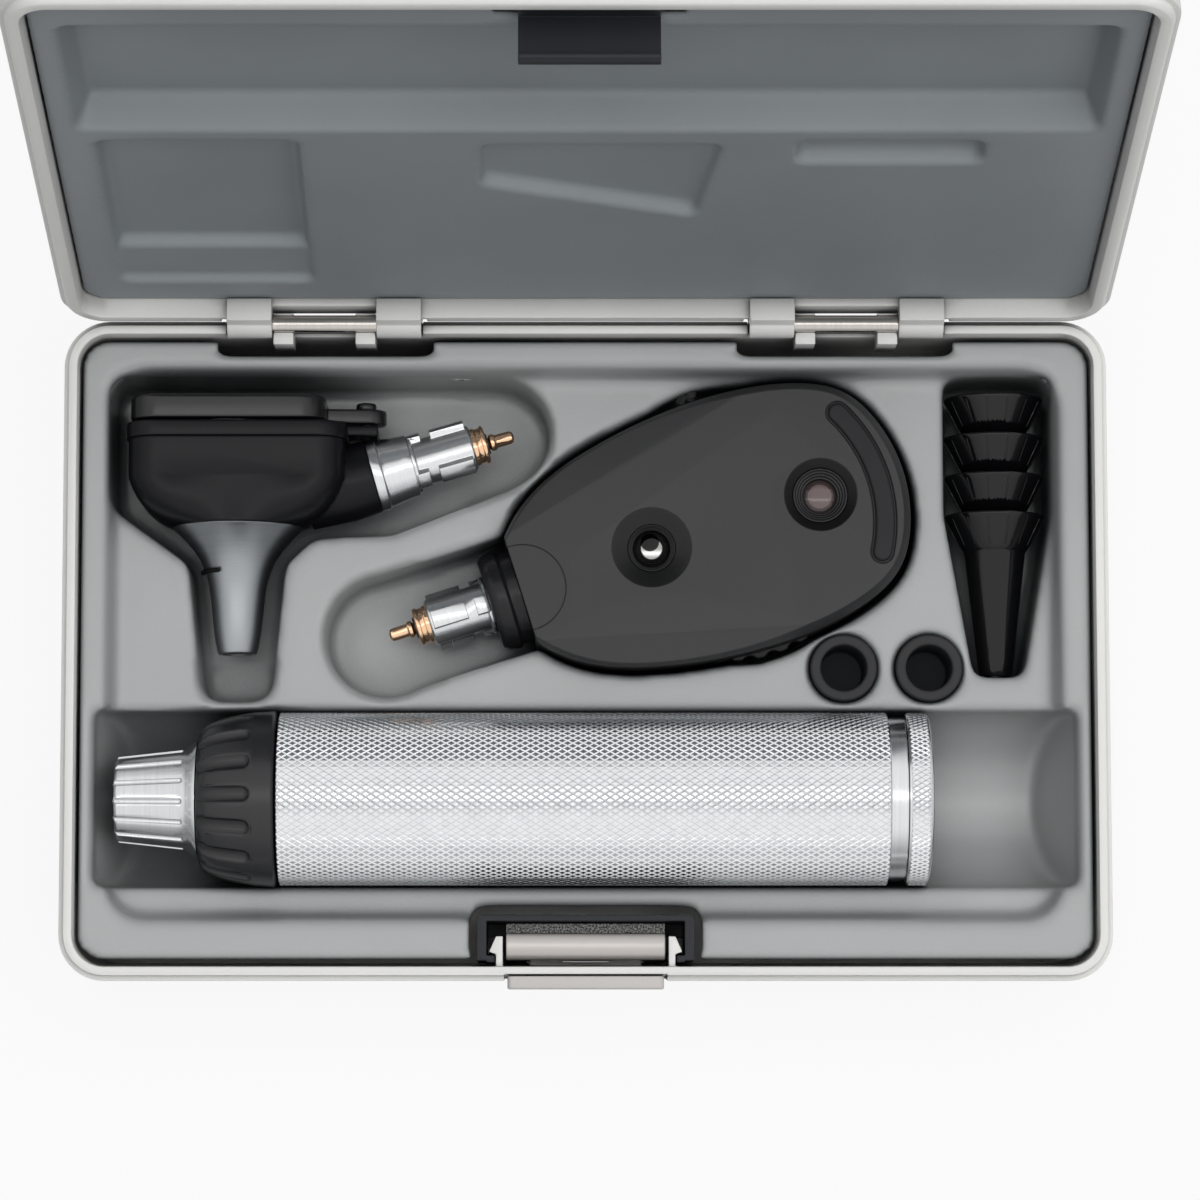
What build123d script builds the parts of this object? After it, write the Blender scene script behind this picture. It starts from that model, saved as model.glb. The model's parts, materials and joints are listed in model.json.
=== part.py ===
from build123d import *
import os
from math import asin, atan2, cos, degrees, radians, sin

os.makedirs("parts", exist_ok=True)

# Hard carrying box for a diagnostic set, open, in millimetres.
# The origin is the centre of the underside, +X runs along the hinge line and +Y points to the hinges.
# Every piece of the lid is modelled closed over the base and then swung open about the hinge pins.

# ---- Driving dimensions -------------------------------------------------------------------------

# box
box_length = 182.0
box_depth = 115.0
corner_radius = 8.0
draft = 3.0
floor_thickness = 2.4
base_wall = 2.4
lid_wall = 3.3
lid_height = 16.0
step_width = 0.9
step_height = 1.5
rim_gap = 0.3
edge_round = 3.0
lid_open_angle = 106.0

# fitted trays
tray_wall = 1.4
tray_play = 0.35
seat_gap = 0.3
flange_drop = 2.5
deck_drop = 7.0
deck_length = 163.5
deck_width = 93.7
deck_centre = (-0.3, 1.25)
deck_corner = 5.5
recess_slope = 18.0
lid_tray_drop = 3.3
lid_tray_wall = 1.2

# battery handle
handle_radius = 14.95
handle_play = 0.35
handle_drop = 8.2
handle_y = -25.75
handle_wall = 1.6
tube_start = -53.4
tube_length = 108.9
cap_length = 4.2
collar_length = 13.6
collar_small_radius = 12.2
socket_length = 14.5
socket_small_radius = 7.7
socket_large_radius = 9.8
stem_radius = 8.0
cell_radius = 13.1
cell_length = 50.0
running_clearance = 0.05
face_clearance = 0.2

# plug that both instrument heads carry
plug_radius = 5.25
plug_core = 4.2
plug_rib_width = 3.2
plug_length = 11.2
sleeve_radius = 3.4
sleeve_length = 2.4
pin_radius = 1.0
pin_length = 4.9

# otoscope head
ear_axis_x = -61.05
ear_back_y = 37.1
ear_width = 38.4
ear_half_height = 11.9
ear_corner = 5.5
cone_radius = 11.65
cone_start_y = 22.2
cone_length = 22.3
cone_tip_radius = 3.35
cone_wall = 1.1
window_length = 34.2
window_thickness = 4.3
ear_pivot_x = -38.6
ear_plug_angle = 16.0
ear_plug_start = (-30.4, 33.5)
ear_neck_length = 7.2
ear_neck_radius = 6.5

# ophthalmoscope head
eye_axis_angle = 17.5
eye_plug_end = (-18.0, 8.5)
eye_half_height = 10.6
eye_plug_sink = 1.3
collar_radius = 8.9
wheel_radius = 23.6
wheel_thickness = 3.0
wheel_centre = 46.0
lens_circle = 15.9
brow_radius = 26.4

# ear specula
specula_inset = 18.7
specula_count = 4
specula_rim_y = 24.7
specula_pitch = 6.95
specula_length = 28.6
specula_rim_radius = 8.3
specula_wall = 0.5
specula_drop = 13.6

# spare lamp holders
holder_radius = 5.8
holder_bore = 4.0
holder_height = 14.0
holder_centres = [(45.1, -2.9), (60.0, -2.9)]

# hinges
hinge_centre = 45.5
hinge_inset = 0.8
hinge_pin_radius = 1.6
knuckle_radius = 2.4
knuckle_inner = 9.1
knuckle_outer = 16.9
cradle_inner = 5.4
cradle_outer = 8.9

# latch
latch_half_width = 13.75
latch_bracket_half = 18.8
latch_post_inner = 14.3
latch_post_neck = 15.5
latch_post_outer = 16.9
latch_pivot_y = -53.2
latch_pivot_z = 15.5
latch_pin_radius = 0.8
tab_half_width = 13.5
tab_proud = 1.4

# ---- Sizes that follow from them ----------------------------------------------------------------

trough_radius = handle_radius + handle_play
handle_z = floor_thickness + seat_gap + tray_wall + trough_radius
rim_z = handle_z + handle_drop
flange_z = rim_z - flange_drop
deck_z = rim_z - deck_drop
pocket_z = floor_thickness + seat_gap + tray_wall
lid_z = rim_z + rim_gap
lid_top = lid_z + lid_height
half_depth = box_depth / 2
specula_x = box_length / 2 - specula_inset
hinge_y = half_depth - hinge_inset
hinge_z = rim_z + rim_gap / 2
hinge_axis = Axis((0, hinge_y, hinge_z), (1, 0, 0))
tube_end = tube_start + tube_length
ear_z = pocket_z + seat_gap + ear_half_height
eye_z = pocket_z + seat_gap + eye_half_height
specula_z = rim_z - specula_drop
front_inner_y = -(half_depth - base_wall)


def finish(piece, name):
    """Name a finished piece and write it to its own file."""
    piece.part.label = name
    export_step(piece.part, f"parts/{name}.step")


def swing_open(piece):
    """Turn a piece that was modelled on the closed lid to the open position."""
    piece.part = piece.part.rotate(hinge_axis, -lid_open_angle)


def drum(axis_plane, start, length, radius, mode=Mode.ADD):
    """Solid cylinder along the normal of a plane, beginning at a distance from it."""
    with BuildSketch(axis_plane.offset(start)) as profile:
        Circle(radius)
    extrude(profile.sketch, amount=length, mode=mode)


def block(x_range, y_range, z_range, mode=Mode.ADD):
    """Straight block between two planes in each direction."""
    with BuildSketch(Plane.XY.offset(z_range[0])) as profile:
        with Locations(((x_range[0] + x_range[1]) / 2, (y_range[0] + y_range[1]) / 2)):
            Rectangle(x_range[1] - x_range[0], y_range[1] - y_range[0])
    extrude(profile.sketch, amount=z_range[1] - z_range[0], mode=mode)


# ---- Base shell: moulded tub with stepped rim, hinge cradles and latch posts ---------------------

hinge_plane = Plane(origin=(0, hinge_y, hinge_z), x_dir=(0, 1, 0), z_dir=(1, 0, 0))
hinge_centres = [-hinge_centre, hinge_centre]
knuckle_room = 0.5
side_room = 0.2
window_half = 10.4
stem_half = 9.8
window_height = 5.0
tab_room = 0.5
tab_gap = 0.3
pocket_floor_y = -(half_depth - 1.15)
tab_bottom_z = 13.2

with BuildPart() as base_shell:
    with BuildSketch(Plane.XY.offset(rim_z - step_height)):
        RectangleRounded(box_length, box_depth, corner_radius)
    extrude(amount=-(rim_z - step_height), taper=draft)
    fillet(base_shell.faces().sort_by(Axis.Z)[0].edges(), radius=edge_round)
    with BuildSketch(Plane.XY.offset(rim_z)):
        RectangleRounded(box_length - 2 * step_width, box_depth - 2 * step_width, corner_radius - step_width)
    extrude(amount=-step_height)
    with BuildSketch(Plane.XY.offset(rim_z)):
        RectangleRounded(box_length - 2 * base_wall, box_depth - 2 * base_wall, corner_radius - base_wall)
    extrude(amount=-(rim_z - floor_thickness), taper=draft, mode=Mode.SUBTRACT)
    for centre in hinge_centres:
        reach = knuckle_outer + side_room
        block(
            (centre - reach, centre + reach),
            (hinge_y - 4.4, half_depth + 2),
            (hinge_z - knuckle_radius - knuckle_room, rim_z + 1),
            mode=Mode.SUBTRACT,
        )
        for side in (-1, 1):
            near = centre + side * cradle_inner
            far = centre + side * cradle_outer
            block(
                (min(near, far), max(near, far)),
                (hinge_y - 3.6, hinge_y + 1.9),
                (hinge_z - 8, hinge_z + 0.7),
            )
        drum(hinge_plane, centre - reach, 2 * reach, hinge_pin_radius + running_clearance / 5, Mode.SUBTRACT)
        block(
            (centre - cradle_outer, centre + cradle_outer),
            (hinge_y - 1.3, hinge_y + 1.3),
            (hinge_z, hinge_z + 1),
            mode=Mode.SUBTRACT,
        )
    # barbed posts that snap into the latch bracket
    post_foot_z = 8.0
    with BuildSketch(Plane.XY.offset(post_foot_z)):
        with BuildLine() as edge:
            Polyline(
                (latch_post_inner, front_inner_y - 0.2),
                (latch_post_neck, front_inner_y - 0.2),
                (latch_post_neck, -52.9),
                (latch_post_outer - 0.2, -52.5),
                (latch_post_neck, -49.8),
                (latch_post_inner, -49.8),
                close=True,
            )
        make_face(edge.edges())
        mirror(about=Plane.YZ)
    extrude(amount=rim_z - 1.6 - post_foot_z)
    block(
        (-tab_half_width - tab_room, tab_half_width + tab_room),
        (-half_depth - 1, pocket_floor_y),
        (tab_bottom_z - 0.6, rim_z + 1),
        mode=Mode.SUBTRACT,
    )
    block(
        (-window_half, window_half),
        (-half_depth - 1, front_inner_y + 2),
        (latch_pivot_z - window_height / 2, latch_pivot_z + window_height / 2),
        mode=Mode.SUBTRACT,
    )
    with BuildSketch(Plane.YZ.offset(-latch_bracket_half)):
        with Locations((latch_pivot_y, latch_pivot_z)):
            Circle(latch_pin_radius + running_clearance)
    extrude(amount=2 * latch_bracket_half, mode=Mode.SUBTRACT)
finish(base_shell, "base_shell")

# ---- Base tray: thin moulded insert with a pocket for each instrument ----------------------------

tray_length = box_length - 2 * (base_wall + tray_play)
tray_width = box_depth - 2 * (base_wall + tray_play)
tray_corner = corner_radius - base_wall - tray_play
eye_plane = Plane(
    origin=(*eye_plug_end, 0),
    x_dir=(cos(radians(eye_axis_angle)), sin(radians(eye_axis_angle)), 0),
    z_dir=(0, 0, 1),
)
trough_end_room = 5.7
trough_end_run = 5.9
trough_mouth_half = box_length / 2 - trough_end_room
trough_half = trough_mouth_half - trough_end_run
handle_plane = Plane(origin=(0, handle_y, handle_z), x_dir=(0, 1, 0), z_dir=(1, 0, 0))


def ear_pocket_outline(wall=0.0):
    """Pocket outline round the otoscope head, its cone and its plug, grown by a wall."""
    with BuildLine() as outline:
        Polyline(
            (-83.2, 48.4),
            (-15.9, 48.4),
            (-12.2, 29.3),
            (-33.9, 20.7),
            (-47.5, 20.2),
            (-52.6, 15.5),
            (-55.0, -8.6),
            (-67.0, -8.6),
            (-69.4, 15.5),
            (-83.2, 25.5),
            close=True,
        )
    make_face(outline.edges())
    if wall:
        offset(amount=wall, kind=Kind.INTERSECTION)
    plug_end = (-15.9, 38.6)
    corners = [v for v in vertices() if v.X < plug_end[0] - 1]
    fillet(corners, radius=3.5)
    with Locations(plug_end):
        Circle(9.8 + wall)


def eye_head_outline(play=0.0):
    """Egg-shaped outline of the ophthalmoscope head, along its own axis."""
    upper = [
        (7.0, 9.6 + play * 0.6),
        (15.0 - play * 0.4, 16.1 + play * 0.8),
        (26.6 - play * 0.2, 20.1 + play),
        (43.0, 22.4 + play),
        (55.5 + play * 0.1, 22.0 + play),
        (64.3 + play * 0.35, 20.1 + play * 0.93),
        (71.2 + play * 0.65, 16.4 + play * 0.75),
        (75.4 + play * 0.9, 9.6 + play * 0.4),
        (77.1 + play, 0),
    ]
    lower = [(along, -across) for along, across in reversed(upper[:-1])]
    with BuildLine() as edge:
        Spline(*upper, *lower)
        Line(upper[0], lower[-1])
    make_face(edge.edges())


def specula_pocket_outline(wall=0.0):
    """Pocket outline round the stack of specula, grown by a wall."""
    wide = 9.3
    narrow = 4.3
    with BuildLine() as outline:
        Polyline(
            (specula_x - wide, 48.4),
            (specula_x + wide, 48.4),
            (specula_x + wide, 24.0),
            (specula_x + narrow, -4.4),
            (specula_x - narrow, -4.4),
            (specula_x - wide, 24.0),
            close=True,
        )
    make_face(outline.edges())
    if wall:
        offset(amount=wall, kind=Kind.INTERSECTION)
    fillet(vertices(), radius=2.0 + wall)


def eye_pocket_outline(wall=0.0):
    """Pocket outline round the ophthalmoscope head, grown by a wall."""
    eye_head_outline(1.0 + wall)


def scoop_outline(wall=0.0):
    """Finger scoop round the ophthalmoscope plug, along the head's axis, grown by a wall."""
    with Locations((-17.8, -0.4)):
        Circle(10.6 + wall)
    with Locations((-4.0, -0.2)):
        Rectangle(27.0, 20.6 + 2 * wall)


def trough_form(wall=0.0):
    """Room for the handle: a round-bottomed trough with sloping ends, grown by a wall."""
    radius = trough_radius + wall
    mouth = trough_mouth_half + wall
    height = rim_z + 1 - handle_z
    bottom = handle_z - radius
    with BuildPart() as form:
        with BuildSketch(handle_plane.offset(-mouth)) as section:
            Circle(radius)
            with Locations((0, height / 2)):
                Rectangle(2 * radius, height)
        extrude(section.sketch, amount=2 * mouth)
        with BuildSketch(Plane.XZ) as side_view:
            with BuildLine() as edge:
                Polyline(
                    (-trough_half - wall, bottom),
                    (trough_half + wall, bottom),
                    (mouth, deck_z),
                    (mouth, rim_z + 1),
                    (-mouth, rim_z + 1),
                    (-mouth, deck_z),
                    close=True,
                )
            make_face(edge.edges())
        extrude(side_view.sketch, amount=box_depth / 2, both=True, mode=Mode.INTERSECT)
    return form.part


specula_pocket_z = specula_z - specula_rim_radius - seat_gap
scoop_z = eye_z - collar_radius - seat_gap
holder_floor_z = deck_z + 1.2 - holder_height
pockets = [
    (Plane.XY, ear_pocket_outline, pocket_z),
    (eye_plane, eye_pocket_outline, pocket_z),
    (eye_plane, scoop_outline, scoop_z),
    (Plane.XY, specula_pocket_outline, specula_pocket_z),
]

hinge_room_half = 18.7
hinge_room_depth = 5.4
hinge_room_drop = 9.0
latch_room_depth = 12.9
trough_outer = trough_form(tray_wall)
trough_room = trough_form()
with BuildPart() as base_insert:
    block(
        (-tray_length / 2, tray_length / 2),
        (-tray_width / 2, tray_width / 2),
        (flange_z - tray_wall, flange_z),
    )
    fillet(base_insert.edges().filter_by(Axis.Z), radius=tray_corner)
    with BuildSketch(Plane.XY.offset(deck_z - tray_wall)):
        with Locations(deck_centre):
            RectangleRounded(
                deck_length + 2 * tray_wall,
                deck_width + 2 * tray_wall,
                deck_corner + tray_wall,
            )
    extrude(amount=flange_z - deck_z + tray_wall / 2, taper=-recess_slope)
    for plane, outline, bottom in pockets:
        with BuildSketch(plane.offset(bottom - tray_wall)):
            outline(tray_wall)
        extrude(amount=deck_z - bottom + tray_wall / 2)
    for centre in holder_centres:
        with BuildSketch(Plane.XY.offset(holder_floor_z - seat_gap - tray_wall)):
            with Locations(centre):
                Circle(holder_radius + tray_play + tray_wall)
        extrude(amount=deck_z - holder_floor_z + tray_wall)
    add(trough_outer)
    # open side of the tray
    block(
        (-box_length / 2, box_length / 2),
        (-half_depth, half_depth),
        (flange_z, rim_z + 2),
        mode=Mode.SUBTRACT,
    )
    with BuildSketch(Plane.XY.offset(deck_z)):
        with Locations(deck_centre):
            RectangleRounded(deck_length, deck_width, deck_corner)
    extrude(amount=deck_drop, taper=-recess_slope, mode=Mode.SUBTRACT)
    for plane, outline, bottom in pockets:
        with BuildSketch(plane.offset(bottom)):
            outline()
        extrude(amount=rim_z - bottom, mode=Mode.SUBTRACT)
    with BuildSketch(eye_plane.offset(eye_z - wheel_thickness)):
        with Locations((wheel_centre, 0)):
            Circle(wheel_radius + 0.9)
    extrude(amount=deck_drop + 10, mode=Mode.SUBTRACT)
    for centre in holder_centres:
        with BuildSketch(Plane.XY.offset(holder_floor_z - seat_gap)):
            with Locations(centre):
                Circle(holder_radius + running_clearance)
        extrude(amount=holder_height + 2, mode=Mode.SUBTRACT)
    add(trough_room, mode=Mode.SUBTRACT)
    for centre in hinge_centres:
        block(
            (centre - hinge_room_half, centre + hinge_room_half),
            (half_depth - hinge_room_depth, half_depth),
            (hinge_z - hinge_room_drop, rim_z),
            mode=Mode.SUBTRACT,
        )
    with BuildSketch(Plane.XY):
        with Locations((0, -half_depth)):
            RectangleRounded(2 * latch_bracket_half + 2, 2 * latch_room_depth, 2.5)
    extrude(amount=rim_z, mode=Mode.SUBTRACT)
finish(base_insert, "base_insert")

# ---- Lid shell: shallow moulded cover with hinge knuckles ----------------------------------------

strap_reach = 4.1
strap_drop = 1.25
with BuildPart() as lid_shell:
    with BuildSketch(Plane.XY.offset(lid_z + step_height)):
        RectangleRounded(box_length, box_depth, corner_radius)
    extrude(amount=lid_height - step_height, taper=draft)
    fillet(lid_shell.faces().sort_by(Axis.Z)[-1].edges(), radius=edge_round)
    with BuildSketch(Plane.XY.offset(lid_z)):
        RectangleRounded(box_length - 2 * step_width, box_depth - 2 * step_width, corner_radius - step_width)
    extrude(amount=step_height)
    chamfer(lid_shell.faces().sort_by(Axis.Z)[0].edges(), length=0.7)
    with BuildSketch(Plane.XY.offset(lid_z)):
        RectangleRounded(box_length - 2 * lid_wall, box_depth - 2 * lid_wall, corner_radius - lid_wall)
    extrude(amount=lid_height - floor_thickness, taper=draft, mode=Mode.SUBTRACT)
    for centre in hinge_centres:
        block(
            (centre - knuckle_inner - 0.1, centre + knuckle_inner + 0.1),
            (hinge_y - 4.3, half_depth + 2),
            (lid_z - 1, hinge_z + knuckle_radius),
            mode=Mode.SUBTRACT,
        )
        for side in (-1, 1):
            inner = centre + side * knuckle_inner
            outer = centre + side * knuckle_outer
            block(
                (min(inner, outer), max(inner, outer)),
                (hinge_y - strap_reach, hinge_y),
                (lid_z - strap_drop, lid_z + 3.0),
            )
            drum(hinge_plane, min(inner, outer), knuckle_outer - knuckle_inner, knuckle_radius)
            drum(
                hinge_plane,
                min(inner, outer) - 1,
                knuckle_outer - knuckle_inner + 2,
                hinge_pin_radius + running_clearance,
                Mode.SUBTRACT,
            )
swing_open(lid_shell)
finish(lid_shell, "lid_shell")

# ---- Lid tray: thin moulded liner with shallow reliefs over the instruments -----------------------

lid_tray_z = lid_z + lid_tray_drop
lid_tray_length = box_length - 2 * (lid_wall + tray_play)
lid_tray_width = box_depth - 2 * (lid_wall + tray_play)
handle_relief = 9.6
handle_relief_half = lid_tray_length / 2 - 4.35
ear_relief_start = -lid_tray_length / 2 + 6.85
reliefs = [
    # outline, height of the relief's floor over the tray's face
    ([(ear_relief_start, -5.0), (-46.8, -5.0), (-46.8, 47.0), (ear_relief_start, 47.0)], 1.4),
    ([(ear_relief_start, -5.0), (-46.8, -5.0), (-46.8, 36.4), (ear_relief_start, 36.4)], 3.4),
    ([(-17.7, -3.6), (22.3, -3.6), (18.4, 22.0), (-17.7, 10.5)], 2.2),
    ([(34.0, -5.0), (65.0, -5.0), (65.0, 2.7), (34.0, 2.7)], 2.6),
    (
        [
            (-handle_relief_half, -43.0),
            (handle_relief_half, -43.0),
            (handle_relief_half, -8.6),
            (-handle_relief_half, -8.6),
        ],
        handle_relief - lid_tray_drop,
    ),
]
relief_slope = 20.0
with BuildPart() as lid_insert:
    block(
        (-lid_tray_length / 2, lid_tray_length / 2),
        (-lid_tray_width / 2, lid_tray_width / 2),
        (lid_tray_z, lid_tray_z + lid_tray_wall),
    )
    fillet(lid_insert.edges().filter_by(Axis.Z), radius=corner_radius - lid_wall - tray_play)
    for corners, height in reliefs:
        with BuildSketch(Plane.XY.offset(lid_tray_z)) as outer:
            with BuildLine():
                Polyline(*corners, close=True)
            make_face()
            offset(amount=lid_tray_wall, kind=Kind.INTERSECTION)
            fillet(vertices(), radius=2.5)
        extrude(amount=height + lid_tray_wall, taper=relief_slope)
    for corners, height in reliefs:
        with BuildSketch(Plane.XY.offset(lid_tray_z)):
            with BuildLine():
                Polyline(*corners, close=True)
            make_face()
            fillet(vertices(), radius=2.0)
        extrude(amount=height, taper=relief_slope, mode=Mode.SUBTRACT)
    block((-15, 15), (-half_depth, -46.5), (lid_z, lid_top), mode=Mode.SUBTRACT)
swing_open(lid_insert)
finish(lid_insert, "lid_insert")

# ---- Hinge pins: nickel-plated rods held in the cradles ------------------------------------------

for side, centre in (("left", -hinge_centre), ("right", hinge_centre)):
    with BuildPart() as hinge_pin:
        drum(hinge_plane, centre - knuckle_outer, 2 * knuckle_outer, hinge_pin_radius)
        chamfer(hinge_pin.edges().filter_by(GeomType.CIRCLE), length=0.3)
    finish(hinge_pin, f"hinge_pin_{side}")

# ---- Latch: black bracket, sprung rocker with nickel catch plate and outer tab, strike on the lid --

bracket_back_y = -46.1
bracket_wall = 1.1
bracket_bottom_z = 11.6
plate_rear_y = -49.3
plate_front_y = -53.9
plate_crown_z = rim_z - 1.3
plate_edge_z = plate_crown_z - 0.9
plate_thickness = 0.7
with BuildPart() as latch_bracket:
    block(
        (-latch_bracket_half, latch_bracket_half),
        (bracket_back_y - bracket_wall, bracket_back_y),
        (bracket_bottom_z, rim_z - 1.4),
    )
    block(
        (-latch_bracket_half, latch_bracket_half),
        (front_inner_y + 1.1, bracket_back_y),
        (bracket_bottom_z, bracket_bottom_z + 1.2),
    )
    for side in (-1, 1):
        near = side * (latch_post_outer + face_clearance)
        far = side * latch_bracket_half
        block(
            (min(near, far), max(near, far)),
            (front_inner_y + 1.1, bracket_back_y),
            (bracket_bottom_z, rim_z - 1.4),
        )
        hook = side * (latch_post_neck + face_clearance)
        block(
            (min(hook, near), max(hook, near)),
            (front_inner_y + 0.8, -53.1),
            (latch_pivot_z + 3, rim_z - 1.4),
        )
        post_room = side * (latch_post_inner - face_clearance)
        block(
            (min(near, post_room), max(near, post_room)),
            (-half_depth, -49.8 + face_clearance),
            (bracket_bottom_z - 1, bracket_bottom_z + 2),
            mode=Mode.SUBTRACT,
        )
    fillet(
        latch_bracket.edges().filter_by(Axis.Z).group_by(Axis.Y)[-1],
        radius=0.9,
    )
finish(latch_bracket, "latch_bracket")

with BuildPart() as latch_pin:
    with BuildSketch(Plane.YZ.offset(-latch_post_outer)):
        with Locations((latch_pivot_y, latch_pivot_z)):
            Circle(latch_pin_radius)
    extrude(amount=2 * latch_post_outer)
finish(latch_pin, "latch_pin")

with BuildPart() as latch_plate:
    with BuildSketch(Plane.YZ.offset(-latch_half_width)):
        with BuildLine():
            top = ThreePointArc(
                (plate_rear_y, plate_edge_z + 0.3),
                ((plate_rear_y + plate_front_y) / 2, plate_crown_z),
                (plate_front_y, plate_edge_z),
            )
            Line(top @ 1, (plate_front_y, plate_edge_z - plate_thickness))
            lower = ThreePointArc(
                (plate_front_y, plate_edge_z - plate_thickness),
                ((plate_rear_y + plate_front_y) / 2, plate_crown_z - plate_thickness),
                (plate_rear_y - plate_thickness, plate_edge_z + 0.2 - plate_thickness),
            )
            Line(lower @ 1, (plate_rear_y - plate_thickness, plate_edge_z - 1.1))
            Line((plate_rear_y - plate_thickness, plate_edge_z - 1.1), (plate_rear_y, plate_edge_z - 1.1))
            Line((plate_rear_y, plate_edge_z - 1.1), top @ 0)
        make_face()
    extrude(amount=2 * latch_half_width)
finish(latch_plate, "latch_plate")

arm_rear_y = -50.4
arm_front_y = -52.6
stem_height = 3.4
tab_face_y = -half_depth - tab_proud
tab_back_y = pocket_floor_y - tab_gap
with BuildPart() as latch_tab:
    with BuildSketch(Plane.YZ.offset(-tab_half_width)):
        with BuildLine():
            Polyline(
                (tab_back_y, tab_bottom_z),
                (tab_back_y, rim_z - 0.7),
                (tab_face_y, rim_z - 0.7),
                (tab_face_y, rim_z - 4.2),
                (tab_face_y + 0.7, rim_z - 6.0),
                (tab_face_y + 0.9, tab_bottom_z),
                close=True,
            )
        make_face()
    extrude(amount=2 * tab_half_width)
    fillet(latch_tab.edges().filter_by(Axis.Y), radius=0.8)
    block(
        (-stem_half, stem_half),
        (tab_back_y, arm_rear_y),
        (latch_pivot_z - stem_height / 2, latch_pivot_z + stem_height / 2),
    )
    arm_top_z = plate_crown_z - plate_thickness - 0.8
    block((-stem_half, stem_half), (arm_front_y, arm_rear_y), (latch_pivot_z, arm_top_z))
    with BuildSketch(Plane.YZ.offset(-latch_bracket_half)):
        with Locations((latch_pivot_y, latch_pivot_z)):
            Circle(latch_pin_radius + running_clearance)
    extrude(amount=2 * latch_bracket_half, mode=Mode.SUBTRACT)
finish(latch_tab, "latch_tab")

spring_half = 4.0
spring_thickness = 0.4
with BuildPart() as latch_spring:
    with BuildSketch(Plane.YZ.offset(-spring_half)):
        with BuildLine():
            ends_y = front_inner_y + 0.9
            crest_y = arm_front_y - 0.6
            front = ThreePointArc((ends_y, 18.6), (crest_y - spring_thickness, 20.7), (ends_y, 22.8))
            Line(front @ 1, (ends_y + spring_thickness, 22.8))
            inner_y = ends_y + spring_thickness
            back = ThreePointArc((inner_y, 22.8), (crest_y, 20.7), (inner_y, 18.6))
            Line(back @ 1, front @ 0)
        make_face()
    extrude(amount=2 * spring_half)
finish(latch_spring, "latch_spring")

strike_half = 11.0
strike_leg_y = (-48.85, -47.65)
strike_toe_y = -49.9
strike_toe_z = (22.0, 23.0)
with BuildPart() as lid_strike:
    block(
        (-strike_half, strike_half),
        (-(half_depth - lid_wall) + 0.3, strike_leg_y[1]),
        (lid_z + 2.0, lid_z + 3.4),
    )
    block((-strike_half, strike_half), strike_leg_y, (strike_toe_z[0], lid_z + 2.0))
    block((-strike_half, strike_half), (strike_toe_y, strike_leg_y[0]), strike_toe_z)
    fillet(lid_strike.edges().filter_by(Axis.X).group_by(Axis.Z)[0].sort_by(Axis.Y)[0], radius=0.6)
swing_open(lid_strike)
finish(lid_strike, "lid_strike")

# ---- Spare lamp holders: rubber cups pressed into the tray ----------------------------------------

for side, centre in zip(("left", "right"), holder_centres):
    with BuildPart() as bulb_holder:
        with BuildSketch(Plane.XY.offset(holder_floor_z)):
            with Locations(centre):
                Circle(holder_radius)
        extrude(amount=holder_height)
        fillet(bulb_holder.faces().sort_by(Axis.Z)[-1].edges(), radius=0.5)
        with BuildSketch(Plane.XY.offset(holder_floor_z + 2.0)):
            with Locations(centre):
                Circle(holder_bore)
        extrude(amount=holder_height, mode=Mode.SUBTRACT)
    finish(bulb_holder, f"bulb_holder_{side}")

# ---- Plug pieces shared by both heads -------------------------------------------------------------


def along(origin, angle, height):
    """Plane whose x axis lies along an instrument's axis and whose y axis points up."""
    direction = Vector(cos(radians(angle)), sin(radians(angle)), 0)
    return Plane(origin=(*origin, height), x_dir=tuple(direction), z_dir=(direction.Y, -direction.X, 0))


def turned(profile_plane, points, bore=0.0):
    """Solid of revolution about a profile plane's x axis, from its (distance, radius) points."""
    with BuildSketch(profile_plane) as section:
        with BuildLine() as edge:
            Polyline(*[(d, r) for d, r in points], (points[-1][0], bore), (points[0][0], bore), close=True)
        make_face(edge.edges())
    revolve(section.sketch, axis=Axis(profile_plane.origin, profile_plane.x_dir), revolution_arc=360)


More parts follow.
